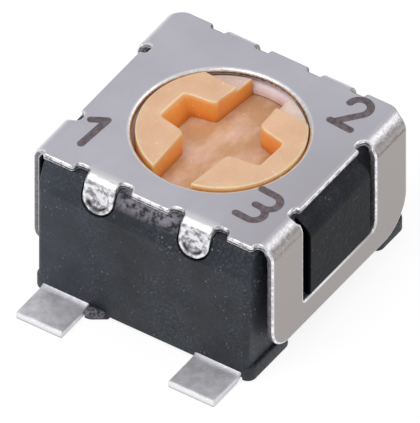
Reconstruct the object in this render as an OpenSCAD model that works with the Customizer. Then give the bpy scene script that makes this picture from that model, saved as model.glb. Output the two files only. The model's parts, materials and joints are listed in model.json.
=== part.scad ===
// Surface-mount trimmer potentiometer: a single-turn sealed trimmer, about 4.5 mm square.
// X runs along the front from terminal 1 to terminal 3, Y points to the back and Z is up.
// The origin is the centre of the housing, on the board that the trimmer is soldered to.

/* [Package] */
// Width of the housing between its two side walls
housing_w = 3.96; // [3.9:0.01:4.8]
// Depth of the housing between its front and back faces
housing_d = 4.4; // [4.2:0.01:5.3]
// Height of the cover's top face above the board
cover_top = 2.68; // [2.2:0.01:3.3]
// Clearance between the board and the underside of the housing
standoff = 0.05; // [0.03:0.01:0.08]

/* [Cover] */
// Thickness of the steel sheet
sheet_t = 0.12; // [0.1:0.01:0.15]
// Gap between a side wall of the housing and the inner face of a flange
side_gap = 0.15; // [0.13:0.01:0.2]
// Outer radius of the bend between the top plate and a flange
flange_bend_r = 0.27; // [0.2:0.01:0.3]
// How far the edge of the top plate lies inside the front face of the housing
plate_inset = 0.21; // [0.15:0.01:0.25]
// How far the upright edge of a flange lies inside the edge of the top plate
flange_inset = 0.105; // [0.08:0.005:0.15]
// Height of the lower edge of a flange above the board
flange_foot = 0.47; // [0.4:0.01:0.6]
// Radius of the front lower corner of a flange
front_corner_r = 0.38; // [0.2:0.01:0.7]
// Radius of the rear lower corner of a flange
rear_corner_r = 0.65; // [0.2:0.01:0.7]
// Width of the window in a flange
window_w = 2.03; // [1.6:0.01:2.2]
// Height of the bar of metal under the window
window_bar = 0.48; // [0.4:0.01:0.6]
// Radius of the lower corners of the window
window_corner_r = 0.17; // [0.1:0.01:0.25]
// Radius of the relief holes at the upper ends of the window
window_relief_r = 0.14; // [0.1:0.01:0.16]
// Radius of the relief bites at the four corners of the top plate
corner_relief_r = 0.125; // [0.1:0.005:0.14]

/* [Tongues] */
// Distance from the middle of the cover to the middle of a tongue
tongue_x = 0.9; // [0.7:0.01:1.1]
// Width of a tongue
tongue_w = 0.58; // [0.45:0.01:0.7]
// Outer radius of the bend of a tongue
tongue_bend_r = 0.2; // [0.18:0.01:0.24]
// Angle that a tongue is folded down
tongue_fold = 75; // [70:1:80]
// Length of the flat end of a tongue past its bend
tongue_flat = 0.45; // [0.4:0.01:0.5]
// Width of the notch on each side of a tongue
notch_w = 0.24; // [0.16:0.01:0.26]
// Depth of those notches, which end in a half circle
notch_d = 0.14; // [0.13:0.005:0.16]

/* [Housing] */
// Radius of the upright edges of the housing
housing_edge_r = 0.1; // [0.05:0.01:0.2]
// How far the bevel on the front and back faces reaches in over the top
bevel_in = 0.2; // [0.1:0.01:0.3]
// How far that bevel reaches down the face
bevel_drop = 0.46; // [0.3:0.01:0.6]
// Depth of the stop block, measured in from the wall of the bore
stop_depth = 0.27; // [0.2:0.01:0.32]
// Thickness of plastic between the embedded terminals and the floor of the bore
floor_skin = 0.07; // [0.05:0.01:0.1]
// How far the feet stand out past the side walls
foot_out = 0.06; // [0.03:0.01:0.08]
// Height of the feet at their outer side
foot_h = 0.28; // [0.2:0.01:0.35]
// Radius of the upright outer corners of the feet
foot_corner_r = 0.15; // [0.05:0.01:0.2]
// Length of the two front feet along the side wall
front_foot = 1.16; // [0.8:0.01:1.3]
// Length of the two rear feet along the side wall
rear_foot = 0.77; // [0.5:0.01:1]
// Width of the two rear feet across the underside
rear_foot_w = 0.74; // [0.5:0.01:0.9]
// How far the toe beside terminal 1 stands out past the front face
toe_out = 0.17; // [0.1:0.01:0.2]
// Width of that toe where it leaves the face
toe_w = 0.35; // [0.2:0.01:0.5]
// Width of the tip of that toe
toe_tip_w = 0.1; // [0.05:0.01:0.2]
// Height of that toe
toe_h = 0.16; // [0.1:0.01:0.25]

/* [Rotor] */
// Distance of the rotor's axis from the middle of the housing, along X
axis_x = 0.03; // [0:0.005:0.04]
// Radius of the hub that shows in the hole of the cover
hub_r = 1.355; // [1.12:0.005:1.45]
// How far the top of the hub stands above the cover
hub_proud = 0.045; // [0:0.005:0.1]
// Radius of the rounded upper edge of the hub
hub_edge_r = 0.04; // [0.02:0.005:0.06]
// Angle that the rotor is turned to, anticlockwise from its middle position
rotor_turn = -3; // [-10:0.5:10]
// Depth of the cross slot
slot_depth = 0.43; // [0.3:0.01:0.5]
// Half width of the cross slot where its two channels meet
slot_half = 0.415; // [0.3:0.005:0.45]
// Half width of the open channel where it leaves the rim
channel_end_half = 0.35; // [0.25:0.01:0.4]
// Half width of a closed arm at its end
arm_end_half = 0.32; // [0.25:0.01:0.4]
// Thickness of the rim between a closed arm and the side of the hub
arm_wall = 0.375; // [0.3:0.005:0.45]
// How far the end wall of a closed arm leans in from top to bottom
arm_draft = 0.15; // [0.05:0.01:0.2]
// Distance from the side of the hub to the edge of its low step
step_in = 0.445; // [0.3:0.005:0.5]
// Depth of that low step
step_drop = 0.1; // [0.05:0.01:0.15]
// Depth of the stop lug, measured in from the side of the flange
lug_depth = 0.14; // [0.1:0.01:0.18]
// Height of the stop lug
lug_h = 0.2; // [0.15:0.01:0.22]
// Angle that the stop lug spans
lug_angle = 40; // [30:1:45]

/* [Seal and element] */
// Diameter of the section of the O-ring
seal_d = 0.28; // [0.24:0.01:0.32]
// Thickness of the ceramic substrate
substrate_t = 0.35; // [0.3:0.01:0.4]
// Thickness of each printed film
film_t = 0.02; // [0.015:0.005:0.03]
// Width of the resistive track
track_w = 0.45; // [0.4:0.01:0.5]
// Distance from the rim of the substrate to the track
track_margin = 0.22; // [0.2:0.01:0.26]
// Half of the angle that the track spans
track_half_angle = 126; // [120:1:128]
// Angle that each end electrode spans
electrode_angle = 18; // [12:1:20]
// Radius of the collector pad in the middle of the substrate
collector_r = 0.45; // [0.35:0.01:0.5]
// Radius of the plated hole under the collector pad
via_r = 0.12; // [0.08:0.01:0.15]

/* [Wiper] */
// Thickness of the wiper's spring sheet
wiper_t = 0.06; // [0.05:0.005:0.08]
// Height of the wiper's flat plate above its contact points
wiper_spring = 0.245; // [0.2:0.005:0.28]
// Width of each of the three outer fingers
outer_finger_w = 0.09; // [0.07:0.01:0.1]
// Distance between neighbouring outer fingers, middle to middle
outer_finger_pitch = 0.12; // [0.11:0.005:0.13]
// Width of each of the two inner fingers
inner_finger_w = 0.13; // [0.1:0.01:0.14]
// Distance between the two inner fingers, middle to middle
inner_finger_pitch = 0.18; // [0.17:0.01:0.22]
// Radius of the two pegs that hold the wiper
peg_r = 0.1; // [0.08:0.01:0.12]

/* [Terminals] */
// Thickness of the terminal sheet
term_t = 0.13; // [0.1:0.01:0.15]
// Width of a terminal outside the housing
term_w = 0.87; // [0.7:0.01:0.9]
// Distance between the two front terminals, middle to middle
term_pitch = 2.86; // [2.5:0.01:2.9]
// How far a terminal reaches past the face of the housing
term_out = 0.77; // [0.5:0.01:1]
// Height that a terminal climbs from the board to its embedded end
term_rise = 0.27; // [0.22:0.01:0.3]
// Length of the flat embedded bar behind the climb
term_bar = 0.26; // [0.2:0.01:0.35]
// Width of the embedded ends of the two front terminals
front_end_w = 0.4; // [0.35:0.01:0.45]
// Width of the embedded end of the rear terminal
rear_end_w = 0.5; // [0.4:0.01:0.6]

/* [Clearances] */
// Radial gap between the hub and the hole in the cover
hub_clear = 0.045; // [0.04:0.005:0.08]
// Radial gap between the rotor's flange and the bore
flange_clear = 0.05; // [0.03:0.005:0.08]
// Radial gap between the substrate and the bore
substrate_clear = 0.05; // [0.04:0.005:0.08]
// Radial gap between the O-ring and the bore
seal_clear = 0.02; // [0.01:0.005:0.04]
// How far the O-ring is pressed flat against the hub and its seat
seal_squeeze = 0.005; // [0.002:0.001:0.01]
// Gap between the O-ring and the underside of the cover
seal_head = 0.06; // [0.03:0.01:0.1]
// Gap between a flange and the side catch that fills its window
catch_gap = 0.155; // [0.1:0.005:0.2]
// Gap under the side catch, above the bar of the flange
catch_foot_gap = 0.02; // [0.01:0.005:0.05]
// How far a side catch stands out past the flange
catch_proud = 0.01; // [0:0.005:0.05]
// Gap between a tongue and the pocket behind it
pocket_gap = 0.02; // [0.01:0.005:0.04]
// Gap between each side of a tongue and its pocket
pocket_side = 0.05; // [0.04:0.005:0.12]
// Gap between the substrate and the stop block, and between the stop block and the wiper
stop_gap = 0.02; // [0.01:0.005:0.03]
// Gap between the wiper's fingers and the printed films
contact_gap = 0.015; // [0.01:0.005:0.02]
// Gap between a peg and its hole in the wiper
peg_gap = 0.02; // [0.01:0.005:0.03]
// Gap between a foot and the terminal beside it
foot_gap = 0.015; // [0.01:0.005:0.03]

/* [Hidden] */
$fn = 72;
cut = 1; // how far a cutting shape runs past what it cuts

// Housing and cover
half_w = housing_w / 2;
half_d = housing_d / 2;
housing_top = cover_top - sheet_t;
cover_half = half_w + side_gap + sheet_t;
plate_half_d = half_d - plate_inset;
flange_half_d = plate_half_d - flange_inset;
bend_start = cover_half - flange_bend_r;
strip_half = bend_start - 0.06;
window_sill = flange_foot + window_bar;
window_edge = cover_half - 0.17;
tongue_start = plate_half_d - 0.11;
catch_half = window_w / 2 - catch_gap;
catch_out = cover_half + catch_proud;
catch_sill = window_sill + catch_foot_gap;
catch_brow = housing_top - 0.26;
catch_root = housing_top - 0.06;
term_foot = half_d + 0.08;
term_top = term_foot - term_rise;
rear_foot_end = half_d - 0.03;
body_root = 0.3; // how far a foot or a toe reaches into the body

// Rotor and seal, from the hub outwards
hole_r = hub_r + hub_clear;
bore_r = hub_r + seal_d - seal_squeeze + seal_clear;
flange_r = bore_r - flange_clear;
hub_top = cover_top + hub_proud;
shoulder = housing_top - seal_d - seal_head;
step_y = hub_r - step_in;
arm_end = hub_r - arm_wall;

// Heights inside the bore, from the embedded terminals upwards
end_top = term_rise + term_t;
floor_z = end_top + floor_skin;
substrate_r = bore_r - substrate_clear;
substrate_top = floor_z + substrate_t;
film_top = substrate_top + film_t;
bond_top = floor_z - film_t;
wiper_z = film_top + contact_gap + wiper_spring;
rotor_foot = wiper_z + wiper_t;
stop_face = bore_r - stop_depth;

// Element
track_out = substrate_r - track_margin;
track_in = track_out - track_w;
track_mid = (track_in + track_out) / 2;
pad_in = substrate_r - 0.3;
bond_at = substrate_r - 0.14;
bond_r = 0.13;
centre_bond_r = 0.15;
floor_pocket_r = 0.3;
via_pad_r = 0.25;
bond_angle = track_half_angle + electrode_angle / 2;
bond_x = bond_at * sin(bond_angle);
bond_y = bond_at * cos(bond_angle);

// Wiper
wiper_r = flange_r - 0.24;
wiper_root = -0.55;
wiper_touch = 0.15;
inner_root = 0.62;
peg_at = (track_in - 0.08) / sqrt(2);

// ---------- shared shapes ----------

// Everything that turns sits on the rotor's axis, at the angle that the rotor is set to.
module on_rotor() translate([axis_x, 0, 0]) rotate(rotor_turn) children();

// The printed element and the bore share the axis but do not turn.
module on_axis() translate([axis_x, 0, 0]) children();

// Draws a child outline, given as depth and height, as a solid that runs along X.
module along_x(length) rotate([90, 0, 90]) linear_extrude(length, center = true) children();

// Draws a child outline, given as width and height, as a solid that runs along Y.
module along_y(length) rotate([90, 0, 0]) linear_extrude(length, center = true) children();

// Copies the children to both sides of a middle plane.
module both(axis) {
    children();
    mirror(axis) children();
}

// The right half of a rectangle, with its lower corner round.
module half_foot(half, low, high, r) {
    translate([0, low + r]) square([half, high - low - r]);
    translate([0, low]) square([half - r, high - low]);
    translate([half - r, low + r]) circle(r);
}

// A rectangle centred on X whose two lower corners are round.
module round_foot(half, low, high, r) both([1, 0, 0]) half_foot(half, low, high, r);

// A rectangle centred on the origin whose four corners are round.
module round_box(half_x, half_y, r) {
    square([2 * half_x, 2 * (half_y - r)], center = true);
    square([2 * (half_x - r), 2 * half_y], center = true);
    for (x = [-1, 1], y = [-1, 1]) translate([x * (half_x - r), y * (half_y - r)]) circle(r);
}

// A part of a ring, from one angle to another, measured from +Y towards +X.
module ring_part(r_in, r_out, from, to, low, high) {
    translate([0, 0, low]) rotate(90 - to) rotate_extrude(angle = to - from)
        translate([r_in, 0]) square([r_out - r_in, high - low]);
}

// A strip of sheet that follows a line of points, with round joins.
module strip(points, t) {
    for (i = [0 : len(points) - 2]) {
        step = points[i + 1] - points[i];
        translate(points[i]) rotate(atan2(step[1], step[0]))
            translate([0, -t / 2]) square([norm(step), t]);
    }
    for (p = points) translate(p) circle(t / 2);
}

// ---------- cover ----------

// Section of the cover across its width, filled in under the top plate.
module arch(half, top, r) {
    mirror([0, 1]) round_foot(half, -top, -flange_foot + cut, r);
}

// Top plate and both flanges as one bent sheet.
module channel() {
    along_y(2 * flange_half_d) difference() {
        arch(cover_half, cover_top, flange_bend_r);
        arch(cover_half - sheet_t, housing_top, flange_bend_r - sheet_t);
    }
}

// Flat end of a tongue, with its full round tip.
module tongue_end() {
    translate([-tongue_w / 2, 0]) square([tongue_w, tongue_flat - tongue_w / 2]);
    translate([0, tongue_flat - tongue_w / 2]) circle(tongue_w / 2);
}

// A tongue at the back edge: a bend, then the flat end that is folded into its pocket.
module tongue() {
    inner = tongue_bend_r - sheet_t;
    translate([tongue_x, tongue_start, cover_top - tongue_bend_r]) {
        rotate([-tongue_fold, 0, 0]) rotate([90, 0, 90]) translate([0, 0, -tongue_w / 2])
            rotate(90) rotate_extrude(angle = tongue_fold)
                translate([inner, 0]) square([sheet_t, tongue_w]);
        rotate([-tongue_fold, 0, 0]) translate([0, 0, inner]) linear_extrude(sheet_t) tongue_end();
    }
}

// Strip of top plate in front of the flanges, open where the two tongues are folded down.
module plate_strip() {
    translate([-strip_half, 0, housing_top]) cube([2 * strip_half, plate_half_d, sheet_t]);
}

// What is cut from one edge of the strip at one tongue: the fold itself and its two notches.
module tongue_cut() {
    translate([tongue_x - tongue_w / 2, tongue_start, housing_top - cut])
        cube([tongue_w, cut, sheet_t + 2 * cut]);
    for (s = [-1, 1]) translate([tongue_x + s * (tongue_w + notch_w) / 2, 0, housing_top - cut])
        linear_extrude(sheet_t + 2 * cut) notch();
}

// One notch beside a tongue, with a full round end.
module notch() translate([0, plate_half_d - notch_d + notch_w / 2]) {
    circle(notch_w / 2);
    translate([-notch_w / 2, 0]) square([notch_w, cut]);
}

// Window in the flange on the right side, which runs up through the bend.
module window_cut() {
    translate([window_edge + cut / 2, 0, 0]) along_x(cut)
        round_foot(window_w / 2, window_sill, cover_top + cut, window_corner_r);
    both([0, 1, 0]) translate([window_edge - 0.02, window_w / 2 - 0.085, housing_top - cut / 2])
        cylinder(h = sheet_t + cut, r = window_relief_r);
}

// The bite that lets a flange bend free of the top plate.
module corner_relief() translate([strip_half + 0.12, plate_half_d - 0.005, housing_top - cut / 2])
    cylinder(h = sheet_t + cut, r = corner_relief_r);

// Side view of the flanges, whose front lower corner is tighter than the rear one.
module flange_side() {
    half_foot(flange_half_d, flange_foot, cover_top + cut, rear_corner_r);
    mirror([1, 0]) half_foot(flange_half_d, flange_foot, cover_top + cut, front_corner_r);
}

// Stainless cover: a plate with a round hole, two windowed flanges and four folded tongues.
module cover() color("#B2B1B8") difference() {
    union() {
        intersection() {
            channel();
            along_x(2 * cover_half + cut) flange_side();
        }
        both([0, 1, 0]) difference() {
            plate_strip();
            both([1, 0, 0]) tongue_cut();
        }
        both([0, 1, 0]) both([1, 0, 0]) tongue();
    }
    round_hole();
    both([1, 0, 0]) window_cut();
    both([0, 1, 0]) both([1, 0, 0]) corner_relief();
}

// Round hole that shows the rotor, centred on the cover.
module round_hole() translate([0, 0, housing_top - cut]) cylinder(h = sheet_t + 2 * cut, r = hole_r);

// ---------- housing ----------

// Catch on the right side wall that fills the window of the flange.
module side_catch() {
    along_y(2 * catch_half) polygon([
        [half_w - cut, catch_sill], [catch_out, catch_sill], [catch_out, catch_brow],
        [half_w, catch_root], [half_w - cut, catch_root]]);
}

// Foot on the right side wall, between two distances along Y, with round outer corners and a sloping top.
module foot(from, to, inner) {
    outer = half_w + foot_out;
    translate([0, (from + to) / 2, 0]) intersection() {
        along_y(to - from) polygon([
            [inner, 0], [outer, 0], [outer, foot_h - foot_out], [half_w, foot_h], [inner, foot_h]]);
        translate([outer - cut, 0, 0]) linear_extrude(foot_h)
            round_box(cut, (to - from) / 2, foot_corner_r);
    }
}

// The two feet on the right side; the front one narrows to pass beside the terminal.
module side_feet() {
    foot_end = -half_d + front_foot;
    foot(-half_d, foot_end, term_pitch / 2 + term_w / 2 + foot_gap);
    foot(-term_top + term_bar, foot_end, term_pitch / 2);
    foot(rear_foot_end - rear_foot, rear_foot_end, half_w + foot_out - rear_foot_w);
}

// Toe of plastic on the front face, which tapers away from the side of terminal 1.
module toe() {
    side = -term_pitch / 2 + term_w / 2 + foot_gap;
    linear_extrude(toe_h) polygon([
        [side, -half_d + body_root], [side, -half_d - toe_out], [side + toe_tip_w, -half_d - toe_out],
        [side + toe_w, -half_d], [side + toe_w, -half_d + body_root]]);
}

// Bevel along the upper edge of the back face.
module bevel_cut() {
    along_x(housing_w + 2 * cut) polygon([
        [half_d - bevel_in, housing_top], [half_d, housing_top - bevel_drop],
        [half_d + cut, housing_top - bevel_drop], [half_d + cut, housing_top + cut],
        [half_d - bevel_in, housing_top + cut]]);
}

// Pocket behind the right tongue of the back face, with a shallow step under the bend.
module tongue_pocket() {
    inner = tongue_bend_r - sheet_t - pocket_gap;
    width = tongue_w + 2 * pocket_side;
    translate([tongue_x, tongue_start, cover_top - tongue_bend_r]) rotate([-tongue_fold, 0, 0])
        translate([-width / 2, -cut, inner])
            cube([width, cut + tongue_flat + pocket_side, cut]);
    translate([tongue_x - width / 2, tongue_start, housing_top - pocket_gap]) cube([width, cut, cut]);
}

// Space for the rotor, the seal and the element, with the stop block left standing at the front.
module bore_space() on_axis() difference() {
    translate([0, 0, floor_z]) cylinder(h = housing_top, r = bore_r);
    translate([-bore_r, -stop_face - bore_r, floor_z - cut])
        cube([2 * bore_r, bore_r, wiper_z - stop_gap - floor_z + cut]);
}

// Small pockets in the floor where the element is bonded to the terminals.
module floor_pockets() on_axis() translate([0, 0, end_top]) {
    for (p = [[0, 0], [-bond_x, bond_y], [bond_x, bond_y]])
        translate([p[0], p[1], 0]) cylinder(h = floor_skin + cut, r = floor_pocket_r);
}

// Moulded housing, formed round the three terminals.
module housing() color("#44474D") difference() {
    union() {
        translate([0, 0, standoff]) linear_extrude(housing_top - standoff)
            round_box(half_w, half_d, housing_edge_r);
        both([1, 0, 0]) side_catch();
        both([1, 0, 0]) side_feet();
        toe();
    }
    both([0, 1, 0]) bevel_cut();
    both([0, 1, 0]) both([1, 0, 0]) tongue_pocket();
    bore_space();
    floor_pockets();
    front_terminal();
    mirror([1, 0, 0]) front_terminal();
    rear_terminal();
}

// ---------- rotor, seal and wiper ----------

// Hub and flange in one turned shape.
module rotor_body() rotate_extrude() {
    translate([0, rotor_foot]) square([flange_r, shoulder - rotor_foot]);
    translate([0, rotor_foot]) square([hub_r, hub_top - hub_edge_r - rotor_foot]);
    translate([0, rotor_foot]) square([hub_r - hub_edge_r, hub_top - rotor_foot]);
    translate([hub_r - hub_edge_r, hub_top - hub_edge_r]) circle(hub_edge_r);
}

// Open channel of the cross slot, seen from above; it runs out through the rim at both ends.
module channel_plan() {
    reach = hub_r + cut;
    spread = slot_half + (channel_end_half - slot_half) * reach / hub_r;
    polygon([[-spread, -reach], [spread, -reach], [slot_half, 0],
             [spread, reach], [-spread, reach], [-slot_half, 0]]);
}

// The two closed arms of the cross slot, seen from above.
module arm_plan() polygon([
    [-arm_end, -arm_end_half], [-slot_half, -slot_half], [slot_half, -slot_half],
    [arm_end, -arm_end_half], [arm_end, arm_end_half], [slot_half, slot_half],
    [-slot_half, slot_half], [-arm_end, arm_end_half]]);

// Cross slot for a screwdriver; the end walls of the closed arms lean inwards.
module cross_slot() {
    low = hub_top - slot_depth;
    translate([0, 0, low]) linear_extrude(slot_depth + cut) channel_plan();
    intersection() {
        translate([0, 0, low]) linear_extrude(slot_depth + cut) arm_plan();
        along_y(2 * hub_r) polygon([
            [-(arm_end - arm_draft), low], [arm_end - arm_draft, low],
            [arm_end, hub_top], [arm_end, hub_top + cut],
            [-arm_end, hub_top + cut], [-arm_end, hub_top]]);
    }
}

// Plastic rotor with its slot, low step, stop lug and the two pegs that carry the wiper.
module rotor() color("#E3B995") on_rotor() difference() {
    union() {
        rotor_body();
        ring_part(flange_r - lug_depth, flange_r, -lug_angle / 2, lug_angle / 2,
                  rotor_foot - lug_h, rotor_foot + wiper_t);
        for (s = [-1, 1]) translate([-peg_at, s * peg_at, wiper_z - 0.04])
            cylinder(h = wiper_t + 0.04 + wiper_t, r = peg_r);
    }
    cross_slot();
    translate([-hub_r, step_y, hub_top - step_drop]) cube([2 * hub_r, hub_r, cut]);
}

// O-ring on the rotor's shoulder, pressed flat where it touches the hub and the shoulder.
module o_ring() color("#C9B0A8") on_rotor() rotate_extrude() intersection() {
    translate([hub_r + seal_d / 2 - seal_squeeze, shoulder + seal_d / 2 - seal_squeeze])
        circle(seal_d / 2);
    translate([hub_r, shoulder]) square([seal_d, seal_d]);
}

// One sprung finger, seen from the side: a slope down to its contact, then a lifted tip.
module finger(root, touch, middle, width) {
    away = sign(touch - root);
    low = film_top + contact_gap + wiper_t / 2;
    flat = wiper_z + wiper_t / 2;
    translate([0, middle, 0]) along_y(width) strip([
        [root, flat], [root + away * 0.12, flat], [touch, low], [touch + away * 0.1, low + 0.06]],
        wiper_t);
}

// Wiper: a spring plate staked to the rotor, with fingers on the track and on the collector.
module wiper() color("#C9A24B") on_rotor() {
    edge = track_mid + outer_finger_pitch + outer_finger_w / 2;
    translate([0, 0, wiper_z]) linear_extrude(wiper_t) difference() {
        union() {
            circle(wiper_r);
            translate([wiper_root - 0.11, track_in]) square([0.16, edge - track_in]);
        }
        translate([wiper_root + 0.05, track_in]) square([0.95, cut]);
        translate([-0.3, -0.22]) square([inner_root - 0.02 + 0.3, 0.44]);
        for (s = [-1, 1]) translate([-peg_at, s * peg_at]) circle(peg_r + peg_gap);
    }
    for (i = [-1 : 1])
        finger(wiper_root, wiper_touch, track_mid + i * outer_finger_pitch, outer_finger_w);
    for (s = [-1, 1]) finger(inner_root, 0, s * inner_finger_pitch / 2, inner_finger_w);
}

// ---------- resistive element ----------

// Alumina disc with a flat at the front and a hole for the collector.
module ceramic_substrate() color("#EFECE4") on_axis() difference() {
    translate([0, 0, floor_z]) cylinder(h = substrate_t, r = substrate_r);
    translate([-substrate_r, -stop_face + stop_gap - cut, floor_z - cut])
        cube([2 * substrate_r, cut, substrate_t + 2 * cut]);
    translate([0, 0, floor_z - cut]) cylinder(h = substrate_t + 2 * cut, r = via_r);
}

// Printed resistive track.
module resistive_track() color("#2B2B2E") on_axis()
    ring_part(track_in, track_out, -track_half_angle, track_half_angle, substrate_top, film_top);

// Printed electrode on the right, wrapped round the rim of the substrate.
module end_electrode() on_axis() {
    from = track_half_angle;
    to = track_half_angle + electrode_angle;
    rim = substrate_r + film_t;
    ring_part(track_in, rim, from, to, substrate_top, film_top);
    ring_part(substrate_r, rim, from, to, bond_top, film_top);
    ring_part(pad_in, rim, from, to, bond_top, floor_z);
}

module end_electrode_3() color("#C8C8C4") end_electrode();

// The left electrode mirrors the right one about the rotor's axis.
module end_electrode_1() color("#C8C8C4")
    on_axis() mirror([1, 0, 0]) translate([-axis_x, 0, 0]) end_electrode();

// Collector in the middle: a pad on each face, joined through the substrate.
module collector_electrode() color("#C8C8C4") on_axis() {
    translate([0, 0, substrate_top]) cylinder(h = film_t, r = collector_r);
    translate([0, 0, bond_top]) cylinder(h = film_top - bond_top, r = via_r);
    translate([0, 0, bond_top]) cylinder(h = film_t, r = via_pad_r);
}

// Drop of conductive adhesive between a terminal and an electrode.
module bond(x, y, r) color("#9A9A9A") on_axis()
    translate([x, y, end_top]) cylinder(h = bond_top - end_top, r = r);

module conductive_bond_1() bond(-bond_x, bond_y, bond_r);
module conductive_bond_2() bond(0, 0, centre_bond_r);
module conductive_bond_3() bond(bond_x, bond_y, bond_r);

// ---------- terminals ----------

// Side view of a terminal from its tip, past the climb into the wall, to its embedded bar.
module terminal_side() {
    tip = half_d + term_out;
    back = term_top - term_bar;
    polygon([[tip, 0], [term_foot, 0], [term_top, term_rise], [back, term_rise], [back, end_top],
             [term_top - 0.05, end_top], [term_foot - 0.05, term_t], [tip, term_t]]);
}

// Embedded end of a terminal, between two places along X and Y.
module terminal_end(x_from, x_to, y_from, y_to) translate([x_from, y_from, term_rise])
    cube([x_to - x_from, y_to - y_from, term_t]);

// Terminal at the front right.
module front_terminal() {
    outer = term_pitch / 2 + term_w / 2;
    end_left = bond_x + axis_x - front_end_w / 2;
    mirror([0, 1, 0]) translate([term_pitch / 2, 0, 0]) along_x(term_w) terminal_side();
    terminal_end(end_left, outer, -term_top, -term_top + term_bar);
    terminal_end(end_left, end_left + front_end_w, -term_top, bond_y + 0.23);
}

// Terminal in the middle of the back.
module rear_terminal() {
    along_x(term_w) terminal_side();
    terminal_end(-rear_end_w / 2 + axis_x / 2, rear_end_w / 2 + axis_x / 2, -0.2, term_top);
}

module terminal_1() color("#A9A9AC") mirror([1, 0, 0]) front_terminal();
module terminal_2() color("#A9A9AC") rear_terminal();
module terminal_3() color("#A9A9AC") front_terminal();

housing();
cover();
rotor();
o_ring();
wiper();
ceramic_substrate();
resistive_track();
end_electrode_1();
end_electrode_3();
collector_electrode();
terminal_1();
terminal_2();
terminal_3();
conductive_bond_1();
conductive_bond_2();
conductive_bond_3();
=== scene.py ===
"""Looks of a sealed surface-mount trimmer potentiometer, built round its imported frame.

Sizes in the classes are millimetres, with X from terminal 1 to terminal 3, Y to the back and Z up.
A finished mesh is brought to metres, the unit of the frame, as its last step.
"""

import json
import logging
import math
from collections.abc import Callable, Sequence
from dataclasses import dataclass, field
from enum import Enum
from functools import partial

import bmesh
import bpy
from mathutils import Matrix, Vector, noise


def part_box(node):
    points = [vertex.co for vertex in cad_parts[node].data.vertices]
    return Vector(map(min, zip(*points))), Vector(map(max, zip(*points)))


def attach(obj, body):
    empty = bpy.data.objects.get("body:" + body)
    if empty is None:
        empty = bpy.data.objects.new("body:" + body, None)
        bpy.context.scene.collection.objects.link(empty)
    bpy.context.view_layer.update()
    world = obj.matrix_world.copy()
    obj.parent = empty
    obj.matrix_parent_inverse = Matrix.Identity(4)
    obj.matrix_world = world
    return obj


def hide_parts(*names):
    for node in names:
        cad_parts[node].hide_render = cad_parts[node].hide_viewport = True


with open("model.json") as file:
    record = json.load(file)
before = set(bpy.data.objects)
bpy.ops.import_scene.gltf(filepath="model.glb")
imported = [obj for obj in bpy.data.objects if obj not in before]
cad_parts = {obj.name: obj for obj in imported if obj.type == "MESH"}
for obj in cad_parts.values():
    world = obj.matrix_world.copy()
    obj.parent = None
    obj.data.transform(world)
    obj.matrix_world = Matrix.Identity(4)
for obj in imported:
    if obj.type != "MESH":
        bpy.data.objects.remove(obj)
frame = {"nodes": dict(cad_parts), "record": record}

MM = 0.001
WELD = 1e-4
PAST = 1.0  # how far a cutter runs past what it cuts
FLAT = math.radians(0.6)  # the turn below which two faces of a solid are made one
SHARP = math.radians(30)  # the turn from which on an edge is rounded
LOG = logging.getLogger("trimmer")

Triple = tuple[float, float, float]
Corner = Triple  # X, Y and radius
Spot = tuple[float, float]  # distance from the middle, and height
Move = tuple[float, float]  # length and angle; the angle is 0 for a straight part
Span = tuple[float, ...]  # start and end of a range, then what they are mapped to where it isn't 0 and 1
Stops = tuple[tuple[float, str], ...]
Mesh = bmesh.types.BMesh
Face = bmesh.types.BMFace
Polygon = bpy.types.MeshPolygon
Piece = bpy.types.Object
Node = bpy.types.Node
Socket = bpy.types.NodeSocket
Tree = bpy.types.NodeTree


class Body(Enum):
    """The two bodies of the frame."""

    BASE = "base"
    ROTOR = "rotor"


class Operation(Enum):
    """The ways in which one solid is worked with another."""

    ADD = "UNION"
    CUT = "DIFFERENCE"
    KEEP = "INTERSECT"


class Digit(Enum):
    """The plain numbers printed beside the terminals."""

    ONE = 1
    TWO = 2
    THREE = 3


# ---------- mesh helpers ----------


def box(node: str) -> tuple[Vector, Vector]:
    """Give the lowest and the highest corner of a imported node, in millimetres."""
    low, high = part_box(node)
    return Vector(low) / MM, Vector(high) / MM


def ramp(value: float, start: float, length: float) -> float:
    """Rise evenly from 0 at a start to 1 a length further on."""
    return min(1.0, max(0.0, (value - start) / length))


def polygon(bm: Mesh, corners: Sequence[Corner], segments: int = 6) -> Face:
    """Draw a flat face whose corners are rounded.

    Args:
        bm: The mesh that receives the face, on its XY plane.
        corners: The corners in order round the face.
        segments: Number of steps in a rounded corner.

    Returns:
        The face.
    """
    known = set(bm.faces)
    verts = [bm.verts.new((x, y, 0.0)) for x, y, _ in corners]
    bm.faces.new(verts)
    for radius in sorted({corner[2] for corner in corners if corner[2] > 0}):
        chosen = [v for v, corner in zip(verts, corners) if corner[2] == radius]
        bmesh.ops.bevel(
            bm, geom=chosen, offset=radius, offset_type="OFFSET", segments=segments,
            profile=0.5, affect="VERTICES", material=-1, clamp_overlap=False,
        )
    face = next(f for f in bm.faces if f not in known)
    face.normal_update()
    if face.normal.z < 0:
        bmesh.ops.reverse_faces(bm, faces=[face])
    return face


def thicken(bm: Mesh, height: float) -> list[bmesh.types.BMVert]:
    """Pull all faces of a flat mesh up into a solid.

    Args:
        bm: The flat mesh.
        height: How far it is pulled up.

    Returns:
        The raised corners.
    """
    grown = bmesh.ops.extrude_face_region(bm, geom=list(bm.faces))["geom"]
    raised = [v for v in grown if isinstance(v, bmesh.types.BMVert)]
    bmesh.ops.translate(bm, verts=raised, vec=(0, 0, height))
    bmesh.ops.recalc_face_normals(bm, faces=bm.faces)
    return raised


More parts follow.
